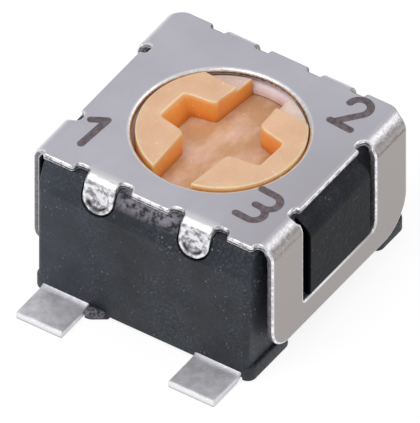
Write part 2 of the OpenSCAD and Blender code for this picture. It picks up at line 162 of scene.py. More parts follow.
def prism(corners: Sequence[Corner], low: float, high: float, segments: int = 6) -> Mesh:
    """Draw an upright solid from a flat outline.

    Args:
        corners: The corners in order round the outline.
        low: Height of its lower face.
        high: Height of its upper face.
        segments: Number of steps in a rounded corner.

    Returns:
        A new mesh that holds the solid.
    """
    bm = bmesh.new()
    polygon(bm, corners, segments)
    bmesh.ops.remove_doubles(bm, verts=bm.verts, dist=WELD)
    thicken(bm, high - low)
    bmesh.ops.translate(bm, verts=bm.verts, vec=(0, 0, low))
    return bm


def disc(radius: float, low: float, high: float, segments: int, x: float = 0.0, y: float = 0.0) -> Mesh:
    """Make an upright round solid.

    Args:
        radius: Its radius.
        low: Height of its lower face.
        high: Height of its upper face.
        segments: Number of its sides.
        x: Place of its middle along X.
        y: Place of its middle along Y.

    Returns:
        A new mesh that holds the solid.
    """
    bm = bmesh.new()
    bmesh.ops.create_cone(
        bm, cap_ends=True, segments=segments, radius1=radius, radius2=radius, depth=high - low,
        matrix=Matrix.Translation((x, y, (low + high) / 2)),
    )
    return bm


def along_x(bm: Mesh, middle: float = 0.0) -> Mesh:
    """Stand a prism so that it runs along X.

    Args:
        bm: The prism, drawn as (depth, height) about a height of 0.
        middle: Place of its middle along X.

    Returns:
        The same mesh.
    """
    turn = Matrix(((0, 0, 1, 0), (1, 0, 0, 0), (0, 1, 0, 0), (0, 0, 0, 1)))
    bmesh.ops.transform(bm, matrix=Matrix.Translation((middle, 0, 0)) @ turn, verts=bm.verts)
    return bm


def along_y(bm: Mesh) -> Mesh:
    """Stand a prism so that it runs along Y.

    Args:
        bm: The prism, drawn as (width, height).

    Returns:
        The same mesh.
    """
    turn = Matrix(((1, 0, 0, 0), (0, 0, -1, 0), (0, 1, 0, 0), (0, 0, 0, 1)))
    bmesh.ops.transform(bm, matrix=turn, verts=bm.verts)
    return bm


def mirrored(bm: Mesh, x: int, y: int) -> Mesh:
    """Copy a solid to another side of the part.

    Args:
        bm: The solid.
        x: 1 to keep its side along X, -1 to change it.
        y: 1 to keep its side along Y, -1 to change it.

    Returns:
        A new mesh that holds the copy.
    """
    copy = bm.copy()
    bmesh.ops.scale(copy, vec=(x, y, 1), verts=copy.verts)
    bmesh.ops.recalc_face_normals(copy, faces=copy.faces)
    return copy


def worked(base: Mesh, tool: Mesh, operation: Operation) -> Mesh:
    """Add one solid to another, cut it out, or keep what the two share.

    Args:
        base: The solid that is worked. It is used up.
        tool: The solid that works it. It is used up.
        operation: What is done with the tool.

    Returns:
        A new mesh that holds the result.
    """
    objects = []
    for bm in (base, tool):
        mesh = bpy.data.meshes.new("work")
        bm.to_mesh(mesh)
        bm.free()
        objects.append(bpy.data.objects.new("work", mesh))
        bpy.context.scene.collection.objects.link(objects[-1])
    modifier = objects[0].modifiers.new("work", "BOOLEAN")
    modifier.operation = operation.value
    modifier.solver = "MANIFOLD"
    modifier.object = objects[1]
    result = bmesh.new()
    result.from_object(objects[0], bpy.context.evaluated_depsgraph_get())
    for obj in objects:
        mesh = obj.data
        bpy.data.objects.remove(obj)
        bpy.data.meshes.remove(mesh)
    bmesh.ops.remove_doubles(result, verts=result.verts, dist=WELD)
    return result


def soften(bm: Mesh, radius: float, keep: Callable[[Vector], bool] = lambda place: True) -> None:
    """Round the sharp edges of a solid.

    Args:
        bm: The solid.
        radius: Size of the rounding.
        keep: Tells from the middle of an edge whether it is rounded.
    """
    bmesh.ops.dissolve_limit(bm, angle_limit=FLAT, verts=bm.verts, edges=bm.edges)
    chosen = [
        e for e in bm.edges
        if len(e.link_faces) == 2 and e.calc_face_angle(0.0) > SHARP
        and keep((e.verts[0].co + e.verts[1].co) / 2)
    ]
    bmesh.ops.bevel(
        bm, geom=chosen, offset=radius, offset_type="OFFSET", segments=3, profile=0.5,
        affect="EDGES", material=-1, clamp_overlap=False, loop_slide=True,
        miter_outer="ARC", miter_inner="SHARP",
    )
    bmesh.ops.remove_doubles(bm, verts=bm.verts, dist=WELD)


def finished(name: str, bm: Mesh, materials: Sequence[bpy.types.Material]) -> Piece:
    """Turn a mesh in millimetres into a piece of the object.

    Args:
        name: Name of the piece.
        bm: Its mesh. It is used up.
        materials: Its finishes, in the order of the faces' material numbers.

    Returns:
        The object, which sits at the origin with its place in its mesh.
    """
    for face in bm.faces:
        face.smooth = True
    bmesh.ops.scale(bm, vec=(MM, MM, MM), verts=bm.verts)
    mesh = bpy.data.meshes.new(name)
    bm.to_mesh(mesh)
    bm.free()
    for material in materials:
        mesh.materials.append(material)
    piece = bpy.data.objects.new(name, mesh)
    bpy.context.scene.collection.objects.link(piece)
    LOG.info("%s: %d faces", name, len(mesh.polygons))
    return piece


def crease(piece: Piece, degrees: float = 40.0) -> None:
    """Shade a piece smooth, with a crease wherever it turns sharply.

    Args:
        piece: The piece.
        degrees: The turn from which on there is a crease.
    """
    piece.data.set_sharp_from_angle(angle=math.radians(degrees))
    weights = piece.modifiers.new("normals", "WEIGHTED_NORMAL")
    weights.keep_sharp = True
    weights.weight = 80


def mark_faces(piece: Piece, name: str, value: Callable[[Polygon], float]) -> None:
    """Store a number on every face, for a material to read.

    Args:
        piece: The piece whose faces are marked.
        name: Name of the attribute.
        value: Gives the number from the face.
    """
    layer = piece.data.attributes.new(name, "FLOAT", "FACE")
    for face in piece.data.polygons:
        layer.data[face.index].value = value(face)


# ---------- material helpers ----------


# Settings of the nodes that the finishes use most.
BLEND = {"data_type": "RGBA"}
TIMES = {"operation": "MULTIPLY"}
PLUS = {"operation": "ADD"}
MOST = {"operation": "MAXIMUM"}


def linear(colour: str) -> tuple[float, float, float, float]:
    """Turn an sRGB colour into linear light.

    Args:
        colour: The colour in hex, such as "#FFFFFF".

    Returns:
        Red, green and blue, with full alpha.
    """
    parts = [int(colour[i : i + 2], 16) / 255 for i in (1, 3, 5)]
    red, green, blue = (p / 12.92 if p <= 0.04045 else ((p + 0.055) / 1.055) ** 2.4 for p in parts)
    return red, green, blue, 1.0


def add_node(tree: Tree, kind: str, inputs: Sequence | dict = (), settings: dict | None = None) -> Node:
    """Add one node to a material, with its settings and its links.

    Args:
        tree: The material's nodes.
        kind: Type of the node, without its common prefix.
        inputs: What feeds its inputs, by name or in their order: a number, a hex colour, an output of
            another node, or that node itself for its first output.
        settings: Values of its properties. "ramp" gives the stops of a colour ramp.

    Returns:
        The node.
    """
    node = tree.nodes.new("ShaderNode" + kind)
    for key, value in (settings or {}).items():
        if key != "ramp":
            setattr(node, key, value)
            continue
        stops = node.color_ramp.elements
        while len(stops) < len(value):
            stops.new(0.5)
        for stop, (place, colour) in zip(stops, value):
            stop.position, stop.color = place, linear(colour)
    if isinstance(inputs, dict):
        pairs = [(node.inputs[key], value) for key, value in inputs.items()]
    else:
        pairs = list(zip((one for one in node.inputs if one.enabled), inputs))
    for entry, value in pairs:
        if isinstance(value, Node):
            value = next(one for one in value.outputs if one.enabled)
        if isinstance(value, Socket):
            tree.links.new(value, entry)
        else:
            entry.default_value = linear(value) if isinstance(value, str) else value
    return node


def place_mm(tree: Tree) -> Node:
    """Give the place on the piece in millimetres."""
    source = add_node(tree, "TexCoord").outputs["Object"]
    return add_node(tree, "Mapping", {"Vector": source, "Scale": (1 / MM,) * 3})


@dataclass(frozen=True)
class Pattern:
    """A noise whose features have a real size, and the range over which it is spread."""

    size_mm: float
    detail: float = 3.0
    span: Span = ()
    stretch: Triple = (1.0, 1.0, 1.0)
    softness: float = 0.55

    def lay(self, tree: Tree) -> Node:
        """Add the pattern to a material.

        Args:
            tree: The material's nodes.

        Returns:
            The node that gives its level.
        """
        place = add_node(tree, "Mapping", {"Vector": place_mm(tree), "Scale": self.stretch})
        cloud = add_node(tree, "TexNoise", {
            "Vector": place, "Scale": 1 / self.size_mm, "Detail": self.detail, "Roughness": self.softness,
        })
        return add_node(tree, "MapRange", (cloud, *self.span)) if self.span else cloud


@dataclass(frozen=True)
class Finish:
    """A finish with clouds of colour over a fine grain; the special finishes build on it."""

    name: str
    light: str
    dark: str
    cloud_mm: float
    grain_mm: float
    grain_depth_mm: float
    roughness: float
    metallic: float = 0.0
    ior: float = 1.5
    rough_spread: float = 0.06
    contrast: Span = (0.3, 0.7)

    def material(self) -> bpy.types.Material:
        """Build the material, or find it where it is already built.

        Returns:
            The material.
        """
        known = bpy.data.materials.get(self.name)
        if known:
            return known
        material = bpy.data.materials.new(self.name)
        material.use_nodes = True
        tree = material.node_tree
        tree.nodes.clear()
        inputs = {"Metallic": self.metallic, "IOR": self.ior, **self.dress(tree)}
        add_node(tree, "OutputMaterial", {"Surface": add_node(tree, "BsdfPrincipled", inputs)})
        return material

    def clouds(self, tree: Tree) -> Node:
        """Give the finish's two colours, blended in soft clouds."""
        share = Pattern(self.cloud_mm, span=self.contrast).lay(tree)
        return add_node(tree, "Mix", (share, self.dark, self.light), BLEND)

    def surface(self, tree: Tree, colour: Node, grain: Node, height: Node | None = None) -> dict:
        """Give what the shader needs for a surface.

        Args:
            tree: The material's nodes.
            colour: Its colour.
            grain: The fine pattern that varies its roughness.
            height: What raises it, where that isn't the grain alone.

        Returns:
            What feeds each input of the shader.
        """
        rough = (self.roughness - self.rough_spread, self.roughness + self.rough_spread)
        bump = {"Strength": 1.0, "Distance": self.grain_depth_mm * MM, "Height": height or grain}
        return {
            "Base Color": colour,
            "Roughness": add_node(tree, "MapRange", (grain, *self.contrast, *rough)),
            "Normal": add_node(tree, "Bump", bump),
        }

    def dress(self, tree: Tree) -> dict:
        """Add the finish to a material, and give what feeds each input of the shader."""
        return self.surface(tree, self.clouds(tree), Pattern(self.grain_mm).lay(tree))


@dataclass(frozen=True)
class RolledSheet(Finish):
    """Rolled stainless sheet: satin and even on the flats and mottled along its folds, with painted light
    and shade across the folds, painted shade on its upright legs, and painted highlights and shade on its
    rims and front tongues.
    """

    # painted highlight on the rims and on the folds of the front tongues
    bright: str = "#F8F8FB"
    stain: str = "#9D9A9E"
    shadow: str = "#CBC8D0"
    # painted shade of the upright legs, darker than the plate
    leg_shade: str = "#A39C9A"
    # painted shade in the dish of a tongue
    dish: str = "#82828C"
    # dark painted shade: a ring in the dish of a tongue, and the shaded parts of the rims
    painted_groove: str = "#353033"
    # painted light and shade across a fold, from the plate to the leg
    folded: Stops = (
        (0.08, "#D6D3D8"), (0.3, "#DCDADE"), (0.44, "#D0CDCE"), (0.6, "#B4AEAC"), (0.86, "#A09996"),
        (0.95, "#6B6461"), (0.99, "#9C9592"),
    )
    mottle: Pattern = Pattern(0.085)
    rolling: Pattern = Pattern(0.05, stretch=(1.0, 1.0, 0.3))
    wander: Pattern = Pattern(0.05, 4.0, (0.3, 0.7, -0.2, 0.2))
    shadow_x: Span = (0.2, 2.0)
    shadow_y: Span = (0.2, 1.8, 1.0, 0.4)
    # where the end of a front fold takes the painted shade of the leg
    front_leg: Span = (-1.1, -0.9, 0.7, 0.0)
    fold_start: Span = (0.0, 0.04)
    fold_end: Span = (0.87, 0.92)
    speckle: Span = (0.45, 0.65, 0.0, 0.4)
    streak: Span = (0.3, 0.7, 0.0, 0.24)
    unstained: Span = (0.38, 0.55)
    outermost: Span = (0.6, 1.0, 1.0, 0.0)
    dish_shade_span: Span = (0.36, 0.58, 0.85, 0.1)
    painted_span: Span = (0.0, 0.6)
    mottle_depth: float = 6.0

    def dress(self, tree: Tree) -> dict:
        """Add the finish, with its painted highlights and painted shade read from the piece's own
        attributes.

        Args:
            tree: The material's nodes.

        Returns:
            What feeds each input of the shader.
        """
        add = partial(add_node, tree)
        bent, turned, dished, grooved = (
            add("Attribute", settings={"attribute_name": name}).outputs["Fac"]
            for name in ("bent", "turned", "dished", "grooved")
        )
        mottle, rolling, wander = self.mottle.lay(tree), self.rolling.lay(tree), self.wander.lay(tree)
        fine = Pattern(self.grain_mm, 2.0).lay(tree)
        unturned = add("MapRange", (turned, 0.0, 1.0, 1.0, 0.0))
        half = add("Math", (turned, unturned), TIMES)
        inside = add("Math", (half, 4.0), TIMES)  # 0 at both ends of a fold and 1 halfway
        along = add("Math", (turned, add("Math", (wander, inside), TIMES)), PLUS)
        fold_shade = add("ValToRGB", (along,), {"ramp": ((0.0, self.light), *self.folded, (1.0, self.leg_shade))})
        where = add("SeparateXYZ", (place_mm(tree),)).outputs
        front = add("MapRange", (where["Y"], *self.front_leg))
        ending = add("Math", (add("MapRange", (turned, *self.fold_end)), front), TIMES)
        fold = add("Mix", (ending, fold_shade, self.leg_shade), BLEND)
        far = add("MapRange", (where["X"], *self.shadow_x))
        back = add("MapRange", (where["Y"], *self.shadow_y))
        plate = add("Mix", (add("Math", (far, back), TIMES), self.clouds(tree), self.shadow), BLEND)
        body = add("Mix", (add("MapRange", (turned, *self.fold_start)), plate, fold), BLEND)
        for pattern, span, zone in ((fine, self.speckle, inside), (rolling, self.streak, turned)):
            share = add("Math", (add("MapRange", (pattern, *span)), zone), TIMES)
            body = add("Mix", (share, body, self.stain), BLEND)
        # painted highlight on the rims, broken up by the stain's mottle
        rim = add("MapRange", (bent, *self.outermost))
        clean = add("Math", (add("MapRange", (mottle, *self.unstained)), rim), MOST)
        rim_highlight = add("Mix", (clean, self.stain, self.bright), BLEND)
        # painted shade in the dish, then the painted ring and rim shade
        dish_shade = add("Math", (add("MapRange", (mottle, *self.dish_shade_span)), dished), TIMES)
        painted_light_and_shade = add("Mix", (grooved, add("Mix", (dish_shade, rim_highlight, self.dish), BLEND), self.painted_groove), BLEND)
        colour = add("Mix", (add("MapRange", (bent, *self.painted_span)), body, painted_light_and_shade), BLEND)
        zone = add("Math", (bent, inside), MOST)
        deep = add("Math", (add("Math", (mottle, zone), TIMES), self.mottle_depth), TIMES)
        height = add("Math", (add("Math", (fine, rolling), PLUS), deep), PLUS)
        return self.surface(tree, colour, fine, height)


@dataclass(frozen=True)
class SheetEdge(Finish):
    """The cut edge of a level sheet: two bright bands, partly its burnished shear zone and partly painted
    highlight, with the dark line of the break between them.
    """

    low: float = 2.56
    high: float = 2.68
    # bright bands of burnish and painted highlight, with the dark break between them
    bands: Stops = (
        (0.0, "#CFCCD0"), (0.3, "#D9D7DB"), (0.42, "#4A4448"), (0.58, "#5A5458"), (0.7, "#E4E2E6"),
        (1.0, "#F2F1F4"),
    )
    wander: Pattern = Pattern(0.06, span=(0.3, 0.7, -0.15, 0.15))
    start: float = 0.02
    share: float = 0.85

    def dress(self, tree: Tree) -> dict:
        """Add the finish, with its bands set by height and broken up by a fine noise.

        Args:
            tree: The material's nodes.

        Returns:
            What feeds each input of the shader.
        """
        add = partial(add_node, tree)
        inputs = super().dress(tree)
        height = add("SeparateXYZ", (place_mm(tree),)).outputs["Z"]
        rise = add("MapRange", (height, self.low, self.high))
        bands = add("ValToRGB", (add("Math", (rise, self.wander.lay(tree)), PLUS),), {"ramp": self.bands})
        level = add("MapRange", (height, self.low - self.start, self.low, 0.0, self.share))
        inputs["Base Color"] = add("Mix", (level, inputs["Base Color"], bands), BLEND)
        return inputs


@dataclass(frozen=True)
class FilledPlastic(Finish):
    """Glass-filled moulded plastic: a dull dark skin with pale specks of filler near the surface."""

    speck: str = "#8A8E98"
    dust_and_light_haze: str = "#585E6C"
    scuff: str = "#8E8892"
    shade: str = "#050506"
    pits: Pattern = Pattern(0.12, 2.0)
    dust: Pattern = Pattern(0.05, 5.0, (0.46, 0.7, 0.0, 0.5))
    dusty: Pattern = Pattern(0.8, 2.0, (0.4, 0.62, 0.15, 0.9))
    torn: Pattern = Pattern(0.1, 4.0, (0.38, 0.56, 0.0, 0.9))
    chalk: Pattern = Pattern(0.045, 4.0, (0.42, 0.6))
    filler: Pattern = Pattern(0.035, 0.0, (0.72, 0.78, 0.0, 0.8))
    sparse: Pattern = Pattern(0.3, 1.0, (0.5, 0.62))
    left: Span = (-2.0, -0.4, 0.22, 0.0)
    middle: Span = (0.45, 0.7, 1.0, 0.0)
    upper: Span = (2.3, 2.44)
    front: Span = (-1.0, 0.0, 1.0, 0.0)
    toe: Span = (-2.235, -2.21, 0.7, 0.0)
    pit_depth: float = 1.5
    shine: Span = (0.0, 1.0, 0.3, 0.02)

    def dress(self, tree: Tree) -> dict:
        """Add the finish, with its specks, a haze of dust with painted light towards the left end, scuffs,
        and painted shade beside the catches.

        Args:
            tree: The material's nodes.

        Returns:
            What feeds each input of the shader.
        """
        add = partial(add_node, tree)
        where = add("SeparateXYZ", (place_mm(tree),)).outputs
        dust = add("Math", (self.dust.lay(tree), self.dusty.lay(tree)), TIMES)
        # painted light, lighter towards the left end, is added to the dust
        dust_and_light = add("Math", (dust, add("MapRange", (where["X"], *self.left))), PLUS)
        body = add("Mix", (dust_and_light, self.clouds(tree), self.dust_and_light_haze), BLEND)
        aside = add("Math", (where["X"],), {"operation": "ABSOLUTE"})
        scuffed = self.torn.lay(tree)
        for place, span in ((aside, self.middle), (where["Z"], self.upper), (where["Y"], self.front)):
            scuffed = add("Math", (scuffed, add("MapRange", (place, *span))), TIMES)
        toe = add("Math", (add("MapRange", (where["Y"], *self.toe)), self.chalk.lay(tree)), TIMES)
        rubbed = add("Mix", (add("Math", (scuffed, toe), MOST), body, self.scuff), BLEND)
        specks = add("Math", (self.filler.lay(tree), self.sparse.lay(tree)), TIMES)
        specked = add("Mix", (specks, rubbed, self.speck), BLEND)
        recess = add("Attribute", settings={"attribute_name": "recess"}).outputs["Fac"]
        colour = add("Mix", (recess, specked, self.shade), BLEND)
        grain = Pattern(self.grain_mm, 4.0).lay(tree)
        pits = add("Math", (self.pits.lay(tree), self.pit_depth), TIMES)
        inputs = self.surface(tree, colour, grain, add("Math", (grain, pits), PLUS))
        # the painted shade beside the catches also takes their shine away
        inputs["Specular IOR Level"] = add("MapRange", (recess, *self.shine))
        return inputs


@dataclass(frozen=True)
class TinPlate(Finish):
    """Tin plated strip: matt on its faces, with painted highlights on its trimmed edges and painted shade
    where they meet the board.
    """

    # painted shade at the foot of a trimmed face, rising to a painted highlight at its top
    edge: Stops = ((0.0, "#5E5C60"), (0.12, "#76747A"), (0.3, "#E6E5E9"), (0.7, "#FFFFFF"), (1.0, "#FFFFFF"))
    sheet: float = 0.13

    def dress(self, tree: Tree) -> dict:
        """Add the finish, with the painted highlight and shade of its trimmed edges read from the piece's
        own attribute.

        Args:
            tree: The material's nodes.

        Returns:
            What feeds each input of the shader.
        """
        add = partial(add_node, tree)
        inputs = super().dress(tree)
        height = add("SeparateXYZ", (place_mm(tree),)).outputs["Z"]
        edge = add("ValToRGB", (add("MapRange", (height, 0.0, self.sheet)),), {"ramp": self.edge})
        cut = add("Attribute", settings={"attribute_name": "cut"}).outputs["Fac"]
        inputs["Base Color"] = add("Mix", (cut, inputs["Base Color"], edge), BLEND)
        return inputs


@dataclass(frozen=True)
class RotorPlastic(Finish):
    """Unfilled moulded plastic: it passes some light, and its hollows are painted deeper in shade than its
    flats, which carry a painted sheen.
    """

    top: float = 2.725
    floor: float = 2.295
    # painted glare in streaks on the lower flats
    glare: str = "#FBE3D9"
    glint: str = "#FFFBF6"
    # painted shade low on the walls, rising to a painted highlight at their upper edges
    walls: Stops = (
        (0.0, "#DE7E28"), (0.3, "#F9A24A"), (0.75, "#FFB35C"), (0.93, "#FFD09C"), (1.0, "#FFE6C8"),
    )
    # painted light by height: the floor, the step, and a paler painted sheen on the top
    flats: Stops = ((0.0, "#D5A67C"), (0.6, "#DEBFB3"), (0.85, "#DEBFB3"), (1.0, "#EAC19E"))
    glare_streaks: Pattern = Pattern(0.4, 4.0, (0.46, 0.7, 0.0, 0.5), (1.0, 0.6, 1.0))
    glints: Pattern = Pattern(0.028, 1.0, (0.7, 0.74))
    sparse: Pattern = Pattern(0.2, 1.0, (0.52, 0.6))
    deep: Span = (0.8, 1.0, 1.0, 0.15)
    glow: float = 0.5
    glow_colour: Triple = (1.0, 0.45, 0.2)
    glow_mm: float = 0.35

    def dress(self, tree: Tree) -> dict:
        """Add the finish, with painted light and shade set by height on walls and flats, painted streaks of
        glare on the lower flats, and painted glints.

        Args:
            tree: The material's nodes.

        Returns:
            What feeds each input of the shader.
        """
        add = partial(add_node, tree)
        height = add("SeparateXYZ", (place_mm(tree),)).outputs["Z"]
        rise = add("MapRange", (height, self.floor, self.top))
        walls, flats = (add("ValToRGB", (rise,), {"ramp": stops}) for stops in (self.walls, self.flats))
        flat = add("Attribute", settings={"attribute_name": "flat"}).outputs["Fac"]
        body = add("Mix", (flat, walls, flats), BLEND)
        tinted = add("Mix", (1.0, body, self.clouds(tree)), {**BLEND, "blend_type": "MULTIPLY"})
        low = add("Math", (add("MapRange", (rise, *self.deep)), flat), TIMES)
        pale = add("Mix", (add("Math", (self.glare_streaks.lay(tree), low), TIMES), tinted, self.glare), BLEND)
        glints = add("Math", (self.glints.lay(tree), self.sparse.lay(tree)), TIMES)
        colour = add("Mix", (glints, pale, self.glint), BLEND)
        return {
            **self.surface(tree, colour, Pattern(self.grain_mm).lay(tree)),
            "Subsurface Weight": self.glow,
            "Subsurface Radius": self.glow_colour,
            "Subsurface Scale": self.glow_mm * MM,
        }


# Stainless steel, cold rolled and stamped: an even satin grey, with painted highlights and painted shade
# along its folds and rims.
STAINLESS = RolledSheet("rolled_stainless_steel", "#DEDCE7", "#D6D4DF", 0.8, 0.03, 0.001, 0.36, metallic=1.0)
# The same steel where the press cut it: darker and rougher, torn across its thickness.
SHEARED = SheetEdge("sheared_steel", "#98949A", "#5C585F", 0.045, 0.02, 0.006, 0.45, metallic=0.4)
# Glass-filled polyester, moulded: almost black, dull, with a faint blue cast and pale specks.
HOUSING_PLASTIC = FilledPlastic("moulded_polyester", "#2D3138", "#1E2227", 0.45, 0.035, 0.005, 0.5)
# Nylon, moulded in orange: satin, with soft edges and light that travels inside it.
ROTOR_PLASTIC = RotorPlastic("moulded_nylon", "#FFFFFF", "#F4F1EE", 0.4, 0.06, 0.003, 0.36)
# Tin plate over a copper alloy: a pale matt grey with faint lines from rolling.
TIN_PLATE = TinPlate("tin_plate", "#EDEBF1", "#CCCBD1", 0.16, 0.025, 0.005, 0.5, metallic=0.6)
# Laser marking burnt into the sheet: a soft brownish grey without shine.
PRINT = Finish("burnt_marking", "#766B70", "#4E4448", 0.07, 0.02, 0.001, 0.7)
# Silicone rubber, moulded: smooth pale pink-grey with a soft shine.
SILICONE = Finish("moulded_silicone", "#F2E6EA", "#E6D2D2", 0.2, 0.04, 0.002, 0.3)
# Nickel silver spring sheet, stamped: bright, yellowish, with fine rolling marks.
SPRING = Finish("nickel_silver", "#CDB57A", "#BFA565", 0.4, 0.03, 0.001, 0.28, metallic=1.0)
# Alumina, fired and unglazed: white and chalky.
ALUMINA = Finish("fired_alumina", "#EFECE4", "#E4E0D6", 0.25, 0.03, 0.003, 0.7)
# Cermet ink, printed and fired: nearly black, with the weave of the printing screen.
CERMET = Finish("fired_cermet", "#303034", "#242427", 0.1, 0.03, 0.003, 0.6)
# Silver ink, printed and fired: pale and satin.
SILVER = Finish("fired_silver_ink", "#D2D2CC", "#BEBEB6", 0.15, 0.03, 0.002, 0.35, metallic=1.0)
# Silver-filled epoxy, cured: a grey paste with a dull glitter.
ADHESIVE = Finish("silver_epoxy", "#A2A2A0", "#84847F", 0.06, 0.03, 0.004, 0.55, metallic=0.4)


# ---------- the pieces ----------


@dataclass
class Cover:
    """The folded steel cover, drawn as a flat blank and then bent."""

    low: Vector
    high: Vector
    sheet: float = 0.12
    bend: float = 0.27
    bend_steps: int = 12
    tongue_steps: int = 10
    net_steps: int = 8
    net_gap: float = 0.02  # how far past the start of a tongue's fold the net starts
    level: float = 0.5  # how squarely a face of the flat blank looks up or down
    plate_half: float = 1.99
    flange_inset: float = 0.105
    front_corner: float = 0.48
    rear_corner: float = 0.65
    # reliefs at the front ends of the bends, and the steps down to the flanges
    relief_right: float = 1.93
    relief_left: float = 2.02
    relief_depth: float = 0.13
    relief_shallow: float = 0.08
    relief_mouth: float = 0.05
    step_start: float = 2.13
    step_end: float = 2.19
    step_drop: float = 0.1
    step_corner: float = 0.03
    # windows of the flanges, with bites at their upper corners
    window_half: float = 1.015
    window_bar: float = 0.48
    window_edge: float = 2.08
    window_rear: float = 0.17
    window_front: float = 0.07
    bite_in: float = 0.18
    bite_out: float = 0.04
    bite_depth: float = 0.12
    bite_run: float = 0.1
    bite_corners: tuple[float, float, float, float] = (0.05, 0.069, 0.1, 0.03)  # from its mouth to its neck
    # tongues, and the notches beside them
    tongue_at: float = 0.9
    tongue_half: float = 0.29
    tongue_start: float = 1.88
    tongue_bend: float = 0.2
    tongue_fold: float = 75.0
    tongue_flat: float = 0.45
    tongue_nose: float = 0.02  # how much less than half a tongue the corners of its tip measure
    tongue_blend: float = 0.05
    notch: float = 0.24
    notch_depth: float = 0.14
    notch_mouth: float = 0.055
    rear_notch: float = 0.09
    corner_gap: float = 0.001  # what is left between two rounded corners
    hole: float = 1.4
    # rounded rims
    edge_rim: float = 0.042
    hole_rim: float = 0.07
    upper_rim: float = 0.05
    lower_rim: float = 0.025
    rim_steps: int = 4
    rim_hold: float = 0.008
    # how brightly highlights are painted on the rims, and where shade is painted on them
    rim_reach: float = 0.1
    fold_reach: float = 0.15
    fold_slim: float = 0.4
    fold_highlight_loss: float = 0.2
    hole_highlight: float = 0.7
    left_highlight: float = 0.3
    sill_highlight: float = 0.12
    rim_shade: float = 0.6
    rim_shade_up: float = 0.06
    rim_shade_end: float = 0.6
    rim_shade_back: float = 0.25
    # the painted shading of the left bend starts only past this share of it
    left_turn: float = 0.85  # share of the left bend that still looks flat
    # marks of the press on the tongues, and the dark ring of painted shade in their dish
    dish: float = 0.035
    dish_radius: float = 0.225
    dish_edge: float = 0.06
    painted_groove_start: float = 0.03
    painted_groove_run: float = 0.1
    dents: tuple[Triple, ...] = ((14, 0, 0.012), (35, 5, 0.006))  # scale, level and depth
    tongue_highlights: tuple[Triple, ...] = ((0.6, -0.12, 0.14), (0.4, 0.1, 0.12))  # share, start and length

    @property
    def top(self) -> float:
        """Height of the outer face of the plate."""
        return self.high.z

    @property
    def flange_half(self) -> float:
        """Distance from the middle to the upright edge of a flange."""
        return self.plate_half - self.flange_inset

    @property
    def bend_start(self) -> float:
        """Distance from the middle at which a flange starts to bend."""
        return self.high.x - self.bend

    @property
    def bend_reach(self) -> float:
        """Length of the bend of a flange on the flat blank, along its outer face."""
        return self.bend * math.pi / 2

    @property
    def foot(self) -> float:
        """Distance from the middle to the lower edge of a flange on the flat blank."""
        return self.bend_start + self.bend_reach + (self.top - self.bend - self.low.z)

    @property
    def sill(self) -> float:
        """Distance from the middle to the lower edge of a window on the flat blank."""
        return self.foot - self.window_bar

    @property
    def tongue_reach(self) -> float:
        """Length of the bend of a tongue on the flat blank, along its outer face."""
        return self.tongue_bend * math.radians(self.tongue_fold)

    @property
    def tongue_tip(self) -> float:
        """Distance from the middle to the tip of a tongue on the flat blank."""
        return self.tongue_start + self.tongue_reach + self.tongue_flat

    def quarter(self, corner: float, relief: float, depth: float, notch: float) -> list[Corner]:
        """List the corners of one quarter of the blank, from its back edge to its right edge.

        Args:
            corner: Radius of the lower corner of the flange there.
            relief: Distance from the middle at which the relief of the bend starts.
            depth: Depth of the relief; 0 for a plain corner.
            notch: Depth of the notches beside the tongue.

        Returns:
            The corners.
        """
        near, far = self.tongue_at - self.tongue_half, self.tongue_at + self.tongue_half
        edge, tip, mouth, run = self.plate_half, self.tongue_tip, self.notch_mouth, self.notch
        floor, root, end = edge - notch, notch - mouth - self.corner_gap, self.tongue_half - self.tongue_nose
        bite = [(relief, edge - depth, depth - self.relief_mouth - self.corner_gap)] if depth else []
        return [
            (near - run, edge, mouth), (near - run, floor, root), (near, floor, root), (near, tip, end),
            (far, tip, end), (far, floor, root), (far + run, floor, root), (far + run, edge, mouth),
            (relief, edge, self.relief_mouth), *bite,
            (self.step_start, edge - max(depth, self.step_drop), self.step_corner),
            (self.step_end, self.flange_half, self.step_corner), (self.foot, self.flange_half, corner),
        ]

    def outline(self) -> list[Corner]:
        """List the corners of the whole blank.

        Returns:
            The corners.
        """
        rear = self.quarter(self.rear_corner, self.relief_right, 0.0, self.rear_notch)
        right, left = (
            self.quarter(self.front_corner, relief, depth, self.notch_depth) for relief, depth in (
                (self.relief_right, self.relief_depth), (self.relief_left, self.relief_shallow),
            )
        )
        corners = rear + [(x, -y, r) for x, y, r in reversed(right)]
        return corners + [(-x, -y, r) for x, y, r in left] + [(-x, y, r) for x, y, r in reversed(rear)]

    def window(self, side: int) -> list[Corner]:
        """List the corners of one window on the blank, with the relief bites at its upper end.

        Args:
            side: 1 for the right window, -1 for the left one.

        Returns:
            The corners.
        """
        edge, half, (mouth, inner, outer, neck) = self.window_edge, self.window_half, self.bite_corners
        bite, out = half - self.bite_in, half + self.bite_out
        rear = [
            (edge, bite, mouth), (edge - self.bite_depth, bite, inner), (edge - self.bite_depth, out, outer),
            (edge + self.bite_run, out, neck), (edge + self.bite_run + self.bite_out, half, 0),
        ]
        lower = [(self.sill, half, self.window_rear), (self.sill, -half, self.window_front)]
        return [(side * x, y, r) for x, y, r in rear + lower + [(x, -y, r) for x, y, r in reversed(rear)]]

